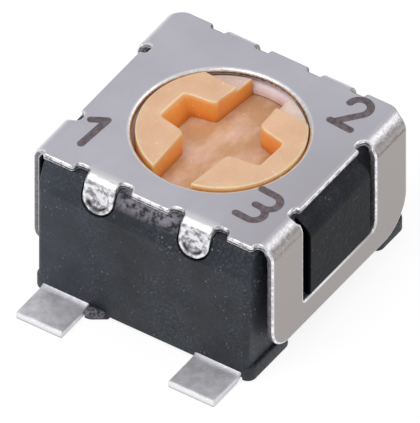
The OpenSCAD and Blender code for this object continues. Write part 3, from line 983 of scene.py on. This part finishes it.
    def rings(self, bm: Mesh, face: Face, way: int, rim: float) -> None:
        """Lay the rings of a rounded rim along the outline of a face, then clear the face.

        Args:
            bm: The blank.
            face: The whole area inside the outline.
            way: 1 where the sheet lies inside the outline, -1 where it lies outside.
            rim: Width of the rounded rim.
        """
        layer = bm.verts.layers.int["ring"]
        steps = range(self.rim_steps + 1)
        insets = [rim * (1 - math.cos(math.pi / 2 * step / self.rim_steps)) for step in steps]
        insets.append(rim + self.rim_hold)
        for ring, (before, after) in enumerate(zip(insets, insets[1:]), start=1):
            bmesh.ops.inset_region(
                bm, faces=[face], thickness=way * (after - before), use_boundary=True, use_even_offset=True,
            )
            for vert in face.verts:
                vert[layer] = ring
        bmesh.ops.delete(bm, geom=[face], context="FACES_ONLY")

    def rim_highlight_level(self, place: Vector) -> float:
        """Tell how bright a highlight is painted on the rim at one place.

        Args:
            place: The place on the blank.

        Returns:
            A level from 0 to 1.
        """
        x, y = abs(place.x), abs(place.y)
        if y < self.window_half - self.rim_reach and abs(x - self.sill) < self.rim_reach:
            return self.sill_highlight
        level = self.left_highlight if place.x < -self.bend_start else 1.0
        if place.xy.length < self.hole + self.rim_reach:
            level = self.hole_highlight
        return level * (1 - self.fold_highlight_loss * ramp(x, self.bend_start, self.fold_reach))

    def rim_shade_level(self, place: Vector) -> float:
        """Tell how much shade is painted on the rim at one place of the blank: along its back and under the
        right window.
        """
        under = place.x > self.foot - self.rim_shade_up and abs(place.y) < self.flange_half - self.rim_shade_end
        return self.rim_shade if under or place.y > self.plate_half - self.rim_shade_back else 0.0

    def blank(self) -> Mesh:
        """Cut the flat blank with its holes and give it its thickness and rounded rims.

        Returns:
            The blank.
        """
        bm = bmesh.new()
        bm.verts.layers.int.new("ring")
        for name in ("bent", "turned", "dished", "grooved"):
            bm.verts.layers.float.new(name)
        layer = bm.verts.layers.int["ring"]
        self.rings(bm, polygon(bm, self.outline(), segments=10), 1, self.edge_rim)
        for side in (-1, 1):
            self.rings(bm, polygon(bm, self.window(side), segments=8), -1, self.edge_rim)
        circle = bmesh.ops.create_circle(bm, cap_ends=True, segments=160, radius=self.hole)
        self.rings(bm, circle["verts"][0].link_faces[0], -1, self.hole_rim)
        last = self.rim_steps + 1
        inner = [e for e in bm.edges if len(e.link_faces) == 1 and all(v[layer] == last for v in e.verts)]
        bmesh.ops.triangle_fill(bm, edges=inner, use_beauty=True, normal=(0, 0, 1))
        for face in bm.faces:
            face.normal_update()
        bmesh.ops.reverse_faces(bm, faces=[f for f in bm.faces if f.normal.z < 0])
        upper = set(thicken(bm, self.sheet))
        for face in bm.faces:
            face.material_index = 0 if abs(face.normal.z) > self.level else 1
        rim_highlight, rim_shade_layer = bm.verts.layers.float["bent"], bm.verts.layers.float["grooved"]
        for vert in bm.verts:
            drop = 1 - math.sin(math.pi / 2 * min(vert[layer], self.rim_steps) / self.rim_steps)
            over = ramp(abs(vert.co.x), self.bend_start, self.fold_reach)
            if vert in upper:
                vert.co.z = self.sheet - self.upper_rim * (1 - self.fold_slim * over) * drop
            else:
                vert.co.z = self.lower_rim * drop
            # paint highlights and shade on the rings of the rims
            if vert[layer] < self.rim_steps:
                vert[rim_highlight], vert[rim_shade_layer] = self.rim_highlight_level(vert.co), self.rim_shade_level(vert.co)
        return bm

    def score(self, bm: Mesh, place: Vector, near: float = -1.0) -> None:
        """Add the line across which the sheet is bent at one place.

        Args:
            bm: The blank.
            place: The point of the line that is nearest to the middle of the blank.
            near: Only faces that reach further than this from the middle line are scored.
        """
        faces = [f for f in bm.faces if max(abs(v.co.y) for v in f.verts) > near]
        verts, edges = {v for f in faces for v in f.verts}, {e for f in faces for e in f.edges}
        across = (1, 0, 0) if place.x else (0, 1, 0)
        geometry = [*verts, *edges, *faces]
        bmesh.ops.bisect_plane(bm, geom=geometry, dist=WELD, plane_co=place, plane_no=across)

    def score_all(self, bm: Mesh) -> None:
        """Add the lines across which the sheet is bent, and a fine net on the tongues.

        Args:
            bm: The blank.
        """
        for side in (-1, 1):
            for step in range(-1, self.bend_steps + 2):
                place = self.bend_start + self.bend_reach * step / self.bend_steps
                self.score(bm, Vector((side * place, 0, 0)))
            for step in range(-4, 3 * self.tongue_steps):
                place = self.tongue_start + self.tongue_reach * step / self.tongue_steps
                if place < self.tongue_tip:
                    near = self.plate_half - self.notch_depth - self.rim_reach
                    self.score(bm, Vector((0, side * place, 0)), near)
            for step in range(1 - self.net_steps, self.net_steps):
                place = side * self.tongue_at + self.tongue_half * step / self.net_steps
                self.score(bm, Vector((place, 0, 0)), self.tongue_start + self.net_gap)

    def bent_place(self, run: float, depth: float, start: float, radius: float, fold: float) -> Spot:
        """Bend one place of the blank round a fold.

        Args:
            run: Its distance from the middle on the blank, across the fold.
            depth: Its depth below the outer face.
            start: Where the fold starts.
            radius: Outer radius of the fold.
            fold: Angle of the fold in radians.

        Returns:
            The distance from the middle and the height.
        """
        past = run - start
        if past <= 0:
            return run, self.top - depth
        angle = min(past / radius, fold)
        rest = max(0.0, past - radius * fold)
        out = start + (radius - depth) * math.sin(angle) + rest * math.cos(fold)
        return out, self.top - radius + (radius - depth) * math.cos(angle) - rest * math.sin(fold)

    def dished(self, x: float, y: float) -> float:
        """Tell, from 0 to 1, how far a place of the blank lies in the dish of a tongue."""
        away = math.hypot(x - self.tongue_at, y - (self.tongue_tip - self.tongue_half))
        return ramp(self.dish_radius, away, self.dish_edge)

    def dent(self, x: float, y: float, depth: float) -> float:
        """Tell how deep the press has dished the outer face of a tongue at one place.

        Args:
            x: Distance of the place from the middle of the blank along X.
            y: Its distance from the middle along Y.
            depth: Its depth below the outer face.

        Returns:
            How much deeper the place lies.
        """
        if depth > self.sheet / 2 or y < self.tongue_start:
            return 0.0
        share = self.dished(x, y)
        edge = min(self.tongue_half - abs(x - self.tongue_at), self.tongue_tip - y)
        rough = sum(
            noise.noise(Vector((x, y, level)) * scale) * size for scale, level, size in self.dents
        )
        flat = ramp(edge, self.edge_rim, self.edge_rim)
        return self.dish * share * share * (3 - 2 * share) + max(0.0, rough) * flat

    def fold(self, bm: Mesh) -> None:
        """Bend the flanges and the tongues, and note where the sheet is strained.

        Args:
            bm: The blank.
        """
        bent, turned, dished, grooved = (
            bm.verts.layers.float[name] for name in ("bent", "turned", "dished", "grooved")
        )
        tongue = math.radians(self.tongue_fold)
        painted_groove = self.tongue_tip - self.tongue_half + self.painted_groove_start
        for vert in bm.verts:
            x, y, depth = abs(vert.co.x), abs(vert.co.y), self.sheet - vert.co.z
            if x > self.bend_start:
                out, height = self.bent_place(x, depth, self.bend_start, self.bend, math.pi / 2)
                turn = ramp(x, self.bend_start, self.bend_reach)
                vert[turned] = turn if vert.co.x > 0 else ramp(turn, self.left_turn, 1 - self.left_turn)
                vert.co = (math.copysign(out, vert.co.x), vert.co.y, height)
                continue
            share = 1 - ramp(abs(x - self.tongue_at), self.tongue_half, self.tongue_blend)
            depth += self.dent(x, y, depth)
            # note the dish, and paint a ring of shade on its slope towards the tip
            if share > 0 and y > self.tongue_start:
                vert[dished] = self.dished(x, y)
                ring = 4 * vert[dished] * (1 - vert[dished]) * ramp(y, painted_groove, self.painted_groove_run)
                vert[grooved] = max(vert[grooved], ring)
            out, height = self.bent_place(y, depth, self.tongue_start, self.tongue_bend, tongue)
            place = Vector((x, y, self.top - depth)).lerp(Vector((x, out, height)), share)
            vert.co = (vert.co.x, math.copysign(place.y, vert.co.y), place.z)
            # paint highlights on the folds of the front tongues only
            if vert.co.y < 0:
                tongue_highlight = sum(
                    part * ramp(y, self.tongue_start + start, run) for part, start, run in self.tongue_highlights
                )
                vert[bent] = max(vert[bent], tongue_highlight * share)

    def build(self) -> Piece:
        """Make the cover and place it on the base.

        Returns:
            The piece.
        """
        bm = self.blank()
        self.score_all(bm)
        self.fold(bm)
        bmesh.ops.recalc_face_normals(bm, faces=bm.faces)
        piece = finished("steel_cover", bm, [STAINLESS.material(), SHEARED.material()])
        crease(piece, degrees=75)
        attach(piece, Body.BASE.value)
        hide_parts("cover")
        return piece


@dataclass
class Housing:
    """The moulded housing, with its pockets, catches, feet and toe."""

    low: Vector
    high: Vector
    half_width: float = 1.98
    under: float = 0.05
    edge: float = 0.1
    bevel_in: float = 0.2
    bevel_drop: float = 0.46
    catch_half: float = 0.86
    catch_sill: float = 0.97
    catch_root: float = 0.2
    brow_drop: float = 0.26
    root_drop: float = 0.06
    brow_radius: float = 0.14
    foot_out: float = 0.06
    foot_height: float = 0.28
    foot_corner: float = 0.15
    front_foot_end: float = -1.04
    front_foot_inner: float = 1.88
    front_foot_step: float = -1.75
    front_foot_root: float = 1.43
    rear_foot: float = 1.4
    rear_foot_gap: float = 0.03
    rear_foot_inner: float = 1.3
    toe_side: float = -0.98
    toe_tip: float = 0.1
    toe_width: float = 0.35
    toe_height: float = 0.16
    toe_root: float = 0.3
    toe_corner: float = 0.05
    toe_softness: float = 0.025
    pocket_gap: float = 0.02
    pocket_side: float = 0.025
    pocket_nose: float = 0.01  # how much less than half a pocket its corners measure
    bore: float = 1.65
    bore_floor: float = 0.47
    stop_face: float = 1.38
    stop_top: float = 1.08
    softness: float = 0.035
    foot_edge: float = 0.1  # below it every edge of a foot is rounded
    # how dark the gap beside a catch is
    catch_skin: float = 0.005
    sill_skin: float = 0.05
    gap_shade: float = 0.68
    gap_light: float = 0.38

    @property
    def half_depth(self) -> float:
        """Distance from the middle to the front face."""
        return self.high.y

    @property
    def top(self) -> float:
        """Height of the seat of the cover."""
        return self.high.z

    def block(self) -> Mesh:
        """Make the block with its rounded upright edges and the bevels along the front and the back.

        Returns:
            Its mesh.
        """
        w, d, r, t = self.half_width, self.half_depth, self.edge, self.top
        plan = prism([(-w, -d, r), (w, -d, r), (w, d, r), (-w, d, r)], self.under, t)
        slope, drop = d - self.bevel_in, t - self.bevel_drop
        half = [(d + PAST, 0, 0), (d + PAST, drop, 0), (d, drop, 0), (slope, t, 0), (slope, t + PAST, 0)]
        outline = [(-d - PAST, 0, 0), *half, *[(-y, z, r) for y, z, r in reversed(half[1:])]]
        bm = worked(plan, along_x(prism(outline, -w - PAST, w + PAST)), Operation.KEEP)
        soften(bm, self.softness)
        return bm

    def catch(self) -> Mesh:
        """Make the catch that fills the right window, with its soft sloping brow.

        Returns:
            Its mesh.
        """
        inner, outer = self.half_width - self.catch_root, self.high.x
        profile = [
            (inner, self.catch_sill, 0), (outer, self.catch_sill, 0),
            (outer, self.top - self.brow_drop, self.brow_radius),
            (self.half_width, self.top - self.root_drop, 0), (inner, self.top - self.root_drop, 0),
        ]
        bm = along_y(prism(profile, -self.catch_half, self.catch_half, segments=8))
        soften(bm, self.softness, lambda place: place.x > self.half_width)
        return bm

    def foot(self, start: float, end: float, inner: float) -> Mesh:
        """Make a foot on the right side.

        Args:
            start: Where it starts along Y.
            end: Where it ends along Y.
            inner: Where it starts along X.

        Returns:
            Its mesh.
        """
        outer = self.half_width + self.foot_out
        bm = prism([
            (inner, start, 0), (outer, start, self.foot_corner),
            (outer, end, self.foot_corner), (inner, end, 0),
        ], 0, self.foot_height)
        soften(bm, self.softness, lambda place: place.x > self.half_width or place.z < self.foot_edge)
        return bm

    def feet(self) -> list[Mesh]:
        """Make the feet on the right side; the front one steps back beside its terminal.

        Returns:
            Their meshes, two of them for the front foot.
        """
        d, end = self.half_depth, self.front_foot_end
        return [
            self.foot(-d, end, self.front_foot_inner),
            self.foot(self.front_foot_step, end, self.front_foot_root),
            self.foot(self.rear_foot, d - self.rear_foot_gap, self.rear_foot_inner),
        ]

    def toe(self) -> Mesh:
        """Make the toe beside terminal 1, which tapers away from the terminal.

        Returns:
            Its mesh.
        """
        face, side, root = -self.half_depth, self.toe_side, self.toe_root - self.half_depth
        bm = prism([
            (side, root, 0), (side, self.low.y, 0), (side + self.toe_tip, self.low.y, self.toe_corner),
            (side + self.toe_width, face, 0), (side + self.toe_width, root, 0),
        ], 0, self.toe_height)
        soften(bm, self.toe_softness)
        return bm

    def pocket_cutter(self, cover: Cover) -> Mesh:
        """Make what is cut behind the back right tongue of the cover.

        Args:
            cover: The cover.

        Returns:
            The mesh of the cutter.
        """
        half, reach = cover.tongue_half + self.pocket_side, cover.tongue_flat + self.pocket_side
        corner = half - self.pocket_nose
        outline = [(-half, -PAST, 0), (half, -PAST, 0), (half, reach, corner), (-half, reach, corner)]
        bm = prism(outline, cover.tongue_bend - cover.sheet - self.pocket_gap, PAST, segments=10)
        turn = Matrix.Rotation(-math.radians(cover.tongue_fold), 4, "X")
        place = Matrix.Translation((cover.tongue_at, cover.tongue_start, cover.top - cover.tongue_bend))
        bmesh.ops.transform(bm, matrix=place @ turn, verts=bm.verts)
        return bm

    def bore_cutter(self, axis: float) -> Mesh:
        """Make the space of the rotor, which leaves the stop block standing at the front.

        Args:
            axis: Distance of the rotor's axis from the middle, along X.

        Returns:
            The mesh of the cutter.
        """
        bore = disc(self.bore, self.bore_floor, self.top + PAST, segments=96, x=axis)
        wide, face = 2 * PAST, -self.stop_face
        outline = [(-wide, -3 * PAST, 0), (wide, -3 * PAST, 0), (wide, face, 0), (-wide, face, 0)]
        return worked(bore, prism(outline, self.bore_floor - PAST, self.stop_top), Operation.CUT)

    def recess(self, face: Polygon) -> float:
        """Tell how much of the light a face of a catch loses in the gap beside it.

        Args:
            face: The face.

        Returns:
            A share from 0 to 1.
        """
        place, normal = face.center / MM, face.normal
        if abs(place.x) < self.half_width + self.catch_skin or place.z < self.catch_sill - self.sill_skin:
            return 0.0
        return min(1.0, self.gap_shade - self.gap_light * max(0.0, normal.z) + abs(normal.y))

    def build(self, cover: Cover, axis: float) -> Piece:
        """Make the housing and place it on the base.

        Args:
            cover: The cover, whose tongues the pockets fit.
            axis: Distance of the rotor's axis from the middle, along X.

        Returns:
            The piece.
        """
        bm = self.block()
        for extra in (self.catch(), *self.feet()):
            for side in (-1, 1):
                bm = worked(bm, mirrored(extra, side, 1), Operation.ADD)
        bm = worked(bm, self.toe(), Operation.ADD)
        pocket = self.pocket_cutter(cover)
        for x, y in ((-1, -1), (-1, 1), (1, -1), (1, 1)):
            bm = worked(bm, mirrored(pocket, x, y), Operation.CUT)
        bm = worked(bm, self.bore_cutter(axis), Operation.CUT)
        piece = finished("moulded_housing", bm, [HOUSING_PLASTIC.material()])
        crease(piece, degrees=35)
        mark_faces(piece, "recess", self.recess)
        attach(piece, Body.BASE.value)
        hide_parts("housing")
        return piece


@dataclass
class Rotor:
    """The plastic rotor with its cross slot."""

    low: Vector
    high: Vector
    axis: float
    hub: float = 1.355
    foot: float = 1.16
    shoulder: float = 2.22
    turn: float = -3.0
    slot_depth: float = 0.43
    slot_half: float = 0.415
    slot_corner: float = 0.05
    channel_end: float = 0.35
    channel_past: float = 0.3
    arm_wall: float = 0.375
    arm_half: float = 0.32
    arm_corner: float = 0.06
    arm_draft: float = 0.15
    step_in: float = 0.445
    step_drop: float = 0.1
    softness: float = 0.03
    short_edge: float = 0.95  # share of the softness below which an edge is closed
    many_corners: int = 12  # faces with more are cut into triangles
    small_face: float = 0.01  # square millimetres, below which a sloping face is shaded smooth
    level: float = 0.9999  # how squarely a face that stays flat looks up
    facing_up: float = 0.9  # how squarely a face looks up that has the colour of the flats

    @property
    def top(self) -> float:
        """Height of the top of the hub."""
        return self.high.z

    @property
    def flange(self) -> float:
        """Radius of the flange inside the housing."""
        return (self.high.x - self.low.x) / 2

    def body(self) -> Mesh:
        """Turn the hub and the flange in one shape.

        Returns:
            Their mesh.
        """
        bm = bmesh.new()
        profile = [
            (0, self.foot), (self.flange, self.foot), (self.flange, self.shoulder),
            (self.hub, self.shoulder), (self.hub, self.top), (0, self.top),
        ]
        verts = [bm.verts.new((r, 0, z)) for r, z in profile]
        edges = [bm.edges.new(pair) for pair in zip(verts, verts[1:])]
        bmesh.ops.spin(
            bm, geom=verts + edges, cent=(0, 0, 0), axis=(0, 0, 1), dvec=(0, 0, 0),
            angle=math.tau, steps=128, use_merge=True, use_duplicate=False,
        )
        bmesh.ops.remove_doubles(bm, verts=bm.verts, dist=WELD)
        bmesh.ops.recalc_face_normals(bm, faces=bm.faces)
        return bm

    def slot_cutter(self) -> Mesh:
        """Make the cross that is cut from the hub, with its closed arms leaning inwards.

        Returns:
            The mesh of the cutter.
        """
        s, reach = self.slot_half, self.hub + self.channel_past
        spread = s + (self.channel_end - s) * reach / self.hub
        quarter = [
            (spread, reach, 0), (s, s, self.slot_corner),
            (self.hub - self.arm_wall, self.arm_half, self.arm_corner),
        ]
        outline = [(-x, y, r) for x, y, r in quarter[:1]] + quarter
        outline += [(x, -y, r) for x, y, r in reversed(quarter)]
        outline += [(-x, -y, r) for x, y, r in quarter] + [(-x, y, r) for x, y, r in reversed(quarter[1:])]
        bm = prism(outline, self.top - self.slot_depth, self.top + self.channel_past, segments=3)
        for vert in bm.verts:
            if abs(vert.co.x) > s + self.arm_draft and abs(vert.co.y) < s:
                lean = self.arm_draft * (self.top - vert.co.z) / self.slot_depth
                vert.co.x -= lean if vert.co.x > 0 else -lean
        return bm

    def build(self) -> Piece:
        """Make the rotor and place it on its own body.

        Returns:
            The piece.
        """
        bm = worked(self.body(), self.slot_cutter(), Operation.CUT)
        near, far = self.hub - self.step_in, 2 * PAST
        outline = [(-far, near, 0), (far, near, 0), (far, far, 0), (-far, far, 0)]
        bm = worked(bm, prism(outline, self.top - self.step_drop, self.top + PAST), Operation.CUT)
        bmesh.ops.dissolve_degenerate(bm, dist=self.softness * self.short_edge, edges=bm.edges)
        soften(bm, self.softness, lambda place: place.z > self.shoulder + self.step_drop)
        wide = [face for face in bm.faces if len(face.verts) > self.many_corners]
        bmesh.ops.triangulate(bm, faces=wide, quad_method="BEAUTY", ngon_method="BEAUTY")
        turn = Matrix.Translation((self.axis, 0, 0)) @ Matrix.Rotation(math.radians(self.turn), 4, "Z")
        bmesh.ops.transform(bm, matrix=turn, verts=bm.verts)
        piece = finished("slotted_rotor", bm, [ROTOR_PLASTIC.material()])
        crease(piece, degrees=60)
        for face in piece.data.polygons:
            face.use_smooth = face.area < self.small_face * MM * MM and abs(face.normal.z) < self.level
        mark_faces(piece, "flat", lambda face: 1.0 if face.normal.z > self.facing_up else 0.0)
        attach(piece, Body.ROTOR.value)
        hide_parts("rotor")
        return piece


@dataclass
class Terminal:
    """One flat terminal, from its tip on the board to its end inside the housing."""

    name: str
    low: Vector
    high: Vector
    outer_from: float
    inner_from: float
    width: float = 0.87
    inner_width: float = 0.4
    sheet: float = 0.13
    face: float = 2.2
    foot_out: float = 0.08
    bar: float = 0.26
    lean: float = 0.05
    foot_corner: float = 0.08
    corner: float = 0.05
    softness: float = 0.03
    side_shine: float = 0.4
    level: float = 0.75  # how squarely a face of the strip looks up or down
    margin: float = 0.02  # how far above the sheet a trimmed face may lie

    def cut_share(self, face: Polygon) -> float:
        """Tell how much painted highlight a trimmed face gets: the tip most, the sides less, the flats not.

        Args:
            face: The face.

        Returns:
            A share from 0 to 1.
        """
        if abs(face.normal.z) > self.level or face.center.z > (self.sheet + self.margin) * MM:
            return 0.0
        return 1.0 if abs(face.normal.y) > abs(face.normal.x) else self.side_shine

    def build(self) -> Piece:
        """Make the terminal and place it on the base.

        Returns:
            The piece.
        """
        front = self.low.y < -self.face
        tip, reach = (-self.low.y, -self.high.y) if front else (self.high.y, self.low.y)
        high, sheet, lean = self.high.z, self.sheet, self.lean
        rise, foot = high - sheet, self.face + self.foot_out
        top = foot - rise
        back = top - self.bar
        profile = [
            (tip, 0, 0), (tip, sheet, self.corner), (foot - lean, sheet, self.foot_corner),
            (top - lean, high, self.corner), (back, high, 0), (back, rise, 0), (top, rise, self.corner),
            (foot, 0, self.foot_corner),
        ]
        bm = along_x(prism(profile, -self.width / 2, self.width / 2), self.outer_from + self.width / 2)
        soften(bm, self.softness, lambda place: place.y > self.face)
        near, far = self.inner_from, self.inner_from + self.inner_width
        corners = [(near, top, 0), (far, top, 0), (far, reach, 0), (near, reach, 0)]
        bm = worked(bm, prism(corners, rise, high), Operation.ADD)
        if front:
            bm = mirrored(bm, 1, -1)
        piece = finished("tinned_" + self.name, bm, [TIN_PLATE.material()])
        crease(piece, degrees=50)
        mark_faces(piece, "cut", self.cut_share)
        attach(piece, Body.BASE.value)
        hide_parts(self.name)
        return piece


@dataclass
class Marking:
    """One plain number marked on the cover in strokes of even width with round ends."""

    digit: Digit
    x: float
    y: float
    top: float
    height: float = 0.68
    stroke: float = 0.13
    end_share: float = 0.495  # radius of a round end, as a share of the stroke
    end_sides: int = 31
    curve_steps: int = 16
    film: float = 0.003
    lean: float = -4.0
    flag: float = 0.26
    flag_way: float = 214.0
    bowl: float = 0.18
    bowl_turn: float = 215.0
    neck: float = 0.44
    base: float = 0.39
    base_from: float = -0.19
    three_from: float = -0.22
    three_arm: float = 0.27
    three_waist: float = 0.14
    three_foot: float = 0.23
    three_turn: float = 170.0

    def strokes(self, start: Vector, heading: float, moves: Sequence[Move]) -> list[Mesh]:
        """Draw one line of the number, whose corners are all rounded.

        Args:
            start: Where the line starts.
            heading: Direction in degrees in which it starts, anticlockwise from X.
            moves: Its parts.

        Returns:
            The line and its two round ends, which overlap.
        """
        bm = bmesh.new()
        centre, way = start, math.radians(heading)
        left = Vector((-math.sin(way), math.cos(way), 0))
        edge = bm.edges.new([bm.verts.new(centre + left * self.stroke / 2 * side) for side in (-1, 1)])
        for length, angle in moves:
            turn = math.radians(angle)
            if angle == 0:
                ahead = Vector((math.cos(way), math.sin(way), 0))
                grown = bmesh.ops.extrude_edge_only(bm, edges=[edge])["geom"]
                ends = [v for v in grown if isinstance(v, bmesh.types.BMVert)]
                bmesh.ops.translate(bm, verts=ends, vec=ahead * length)
                centre = centre + ahead * length
            else:
                left = Vector((-math.sin(way), math.cos(way), 0))
                middle = centre + left * length / turn
                grown = bmesh.ops.spin(
                    bm, geom=[edge, *edge.verts], cent=middle, axis=(0, 0, 1), dvec=(0, 0, 0), angle=turn,
                    steps=self.curve_steps, use_merge=False, use_duplicate=False,
                )["geom_last"]
                centre = middle + Matrix.Rotation(turn, 3, "Z") @ (centre - middle)
                way += turn
            edge = next(e for e in grown if isinstance(e, bmesh.types.BMEdge))
        thicken(bm, self.film)
        radius = self.stroke * self.end_share
        ends = [disc(radius, 0, self.film, self.end_sides, end.x, end.y) for end in (start, centre)]
        return [bm, *ends]

    def draw(self) -> list[Mesh]:
        """Draw the lines of the number about its own middle.

        Returns:
            Its solids, which overlap.
        """
        half = self.height / 2
        if self.digit is Digit.ONE:
            top = Vector((0.0, half, 0))
            stem = self.strokes(top, 270, [(self.height, 0)])
            return stem + self.strokes(top, self.flag_way, [(self.flag, 0)])
        if self.digit is Digit.TWO:
            bowl, turn = self.bowl, self.bowl_turn
            curve = [(bowl * math.radians(turn), -turn), (self.neck, 0)]
            hook = self.strokes(Vector((-bowl, half - bowl, 0)), 90, curve)
            return hook + self.strokes(Vector((self.base_from, -half, 0)), 0, [(self.base, 0)])
        bowl, turn = self.height / 4, self.three_turn
        upper = [(self.three_arm, 0), (bowl * math.pi, -180), (self.three_waist, 0)]
        lower = [(self.three_foot, 0), (bowl * math.radians(turn), turn)]
        lines = self.strokes(Vector((self.three_from, half, 0)), 0, upper)
        return lines + self.strokes(Vector((self.three_from, -half, 0)), 0, lower)

    def build(self) -> Piece:
        """Make the marking and lay it on the cover.

        Returns:
            The piece.
        """
        bm, *rest = self.draw()
        for solid in rest:
            bm = worked(bm, solid, Operation.ADD)
        turn = Matrix.Rotation(math.radians(self.lean), 4, "Z")
        place = Matrix.Translation((self.x, self.y, self.top)) @ turn
        bmesh.ops.transform(bm, matrix=place, verts=bm.verts)
        piece = finished(f"marking_{self.digit.value}", bm, [PRINT.material()])
        crease(piece)
        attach(piece, Body.BASE.value)
        return piece


@dataclass
class SealedParts:
    """The pieces inside the housing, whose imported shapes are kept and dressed."""

    finishes: dict[str, Finish] = field(default_factory=lambda: {
        "o_ring": SILICONE,
        "wiper": SPRING,
        "ceramic_substrate": ALUMINA,
        "resistive_track": CERMET,
        "collector_electrode": SILVER,
        **{f"end_electrode_{end}": SILVER for end in (1, 3)},
        **{f"conductive_bond_{end}": ADHESIVE for end in (1, 2, 3)},
    })

    def dress(self) -> None:
        """Give each sealed piece its finish."""
        for name, finish in self.finishes.items():
            node = frame["nodes"][name]
            node.data.materials.clear()
            node.data.materials.append(finish.material())
            LOG.info("%s: %s", name, finish.name)


def direction(azimuth: float, elevation: float) -> Vector:
    """Give the direction from the part to a place, from its two angles in degrees."""
    a, e = math.radians(azimuth), math.radians(elevation)
    return Vector((math.sin(a) * math.cos(e), -math.cos(a) * math.cos(e), math.sin(e)))


@dataclass(frozen=True)
class Lamp:
    """A square soft lamp that faces the part; its azimuth turns from the front towards the right."""

    name: str
    azimuth: float
    elevation: float
    distance: float
    size: float
    radiance: float

    def hang(self) -> None:
        """Hang the lamp."""
        away = direction(self.azimuth, self.elevation)
        data = bpy.data.lights.new(self.name, "AREA")
        data.shape = "SQUARE"
        data.size = self.size * MM
        data.energy = self.radiance * math.pi * (self.size * MM) ** 2
        lamp = bpy.data.objects.new(self.name, data)
        facing = away.to_track_quat("Z", "Y").to_matrix().to_4x4()
        lamp.matrix_world = Matrix.Translation(away * self.distance * MM) @ facing
        bpy.context.scene.collection.objects.link(lamp)


@dataclass
class Studio:
    """The floor, the lamps, the white surroundings and the camera."""

    azimuth: float = 33.75
    elevation: float = 42.75
    view_width: float = 6.56
    shift_right: float = -0.159
    shift_up: float = -0.26
    aim_height: float = 1.3
    distance: float = 60.0
    clip: tuple[float, float] = (1.0, 1000.0)
    floor_half: float = 400.0
    card: str = "#F4F4F4"
    card_seen: str = "#7C7C7C"
    card_glow: float = 0.86
    daylight: Span = (0.0, 1.0, 0.62, 1.0)
    lamps: tuple[Lamp, ...] = (
        Lamp("key_lamp", -22, 58, 60, 40, 2.3),
        Lamp("fill_lamp", 60, 35, 70, 40, 0.2),
        Lamp("rim_lamp", 150, 45, 60, 36, 1.1),
    )

    def camera(self) -> None:
        """Place the camera, which looks at the part without perspective."""
        back = direction(self.azimuth, self.elevation)
        right = direction(self.azimuth + 90, 0)
        up = back.cross(right)
        aim = Vector((0, 0, self.aim_height)) + right * self.shift_right + up * self.shift_up
        data = bpy.data.cameras.new("camera")
        data.type = "ORTHO"
        data.sensor_fit = "HORIZONTAL"
        data.ortho_scale = self.view_width * MM
        data.clip_start, data.clip_end = (distance * MM for distance in self.clip)
        camera = bpy.data.objects.new("camera", data)
        turn = Matrix((right, up, back)).transposed().to_4x4()
        camera.matrix_world = Matrix.Translation((aim + back * self.distance) * MM) @ turn
        bpy.context.scene.collection.objects.link(camera)
        bpy.context.scene.camera = camera

    def seen(self, tree: Tree) -> Node:
        """Tell whether a ray comes from the camera, straight or by a mirror or a clear solid.

        Args:
            tree: The material's nodes.

        Returns:
            The node that gives 1 where it does.
        """
        path = add_node(tree, "LightPath").outputs
        either = add_node(tree, "Math", (path["Is Camera Ray"], path["Is Glossy Ray"]), MOST)
        return add_node(tree, "Math", (either, path["Is Transmission Ray"]), MOST)

    def floor(self) -> None:
        """Lay a large pale floor, which the camera sees as white under a faint shadow."""
        bm = bmesh.new()
        bmesh.ops.create_grid(bm, x_segments=1, y_segments=1, size=self.floor_half)
        material = bpy.data.materials.new("white_card")
        material.use_nodes = True
        tree = material.node_tree
        tree.nodes.clear()
        seen = self.seen(tree)
        shade = add_node(tree, "Mix", (seen, self.card, self.card_seen), BLEND)
        card = add_node(tree, "BsdfDiffuse", {"Color": shade})
        power = add_node(tree, "Math", (seen, self.card_glow), TIMES)
        glow = add_node(tree, "Emission", {"Color": "#FFFFFF", "Strength": power})
        add_node(tree, "OutputMaterial", {"Surface": add_node(tree, "AddShader", (card, glow))})
        finished("floor", bm, [material])

    def surroundings(self) -> None:
        """Surround the part with even white light."""
        world = bpy.data.worlds.new("surroundings")
        world.use_nodes = True
        tree = world.node_tree
        tree.nodes.clear()
        seen = add_node(tree, "LightPath").outputs["Is Camera Ray"]
        strength = add_node(tree, "MapRange", (seen, *self.daylight))
        light = add_node(tree, "Background", {"Color": "#FFFFFF", "Strength": strength})
        add_node(tree, "OutputWorld", {"Surface": light})
        bpy.context.scene.world = world

    def build(self) -> None:
        """Set up the whole studio."""
        self.camera()
        for lamp in self.lamps:
            lamp.hang()
        self.floor()
        self.surroundings()
        bpy.context.scene.view_settings.view_transform = "Standard"


def main() -> None:
    """Build the pieces round the frame, dress them and set up the studio."""
    logging.basicConfig(level=logging.INFO, format="%(message)s")
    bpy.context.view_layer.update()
    axis = frame["record"]["behaviour"]["joints"][0]["pos_m"][0] / MM
    cover = Cover(*box("cover"))
    cover.build()
    Housing(*box("housing")).build(cover, axis)
    Rotor(*box("rotor"), axis).build()
    low, high = box("terminal_1")
    Terminal("terminal_1", low, high, low.x, high.x - Terminal.inner_width).build()
    low, high = box("terminal_2")
    wide = 0.5
    Terminal("terminal_2", low, high, low.x, (axis - wide) / 2, inner_width=wide).build()
    low, high = box("terminal_3")
    Terminal("terminal_3", low, high, high.x - Terminal.width, low.x).build()
    for digit, x, y in ((Digit.ONE, -1.61, -1.13), (Digit.TWO, 1.51, 1.48), (Digit.THREE, 1.5, -1.12)):
        Marking(digit, x, y, cover.top).build()
    SealedParts().dress()
    Studio().build()


if __name__ == "__main__":
    main()
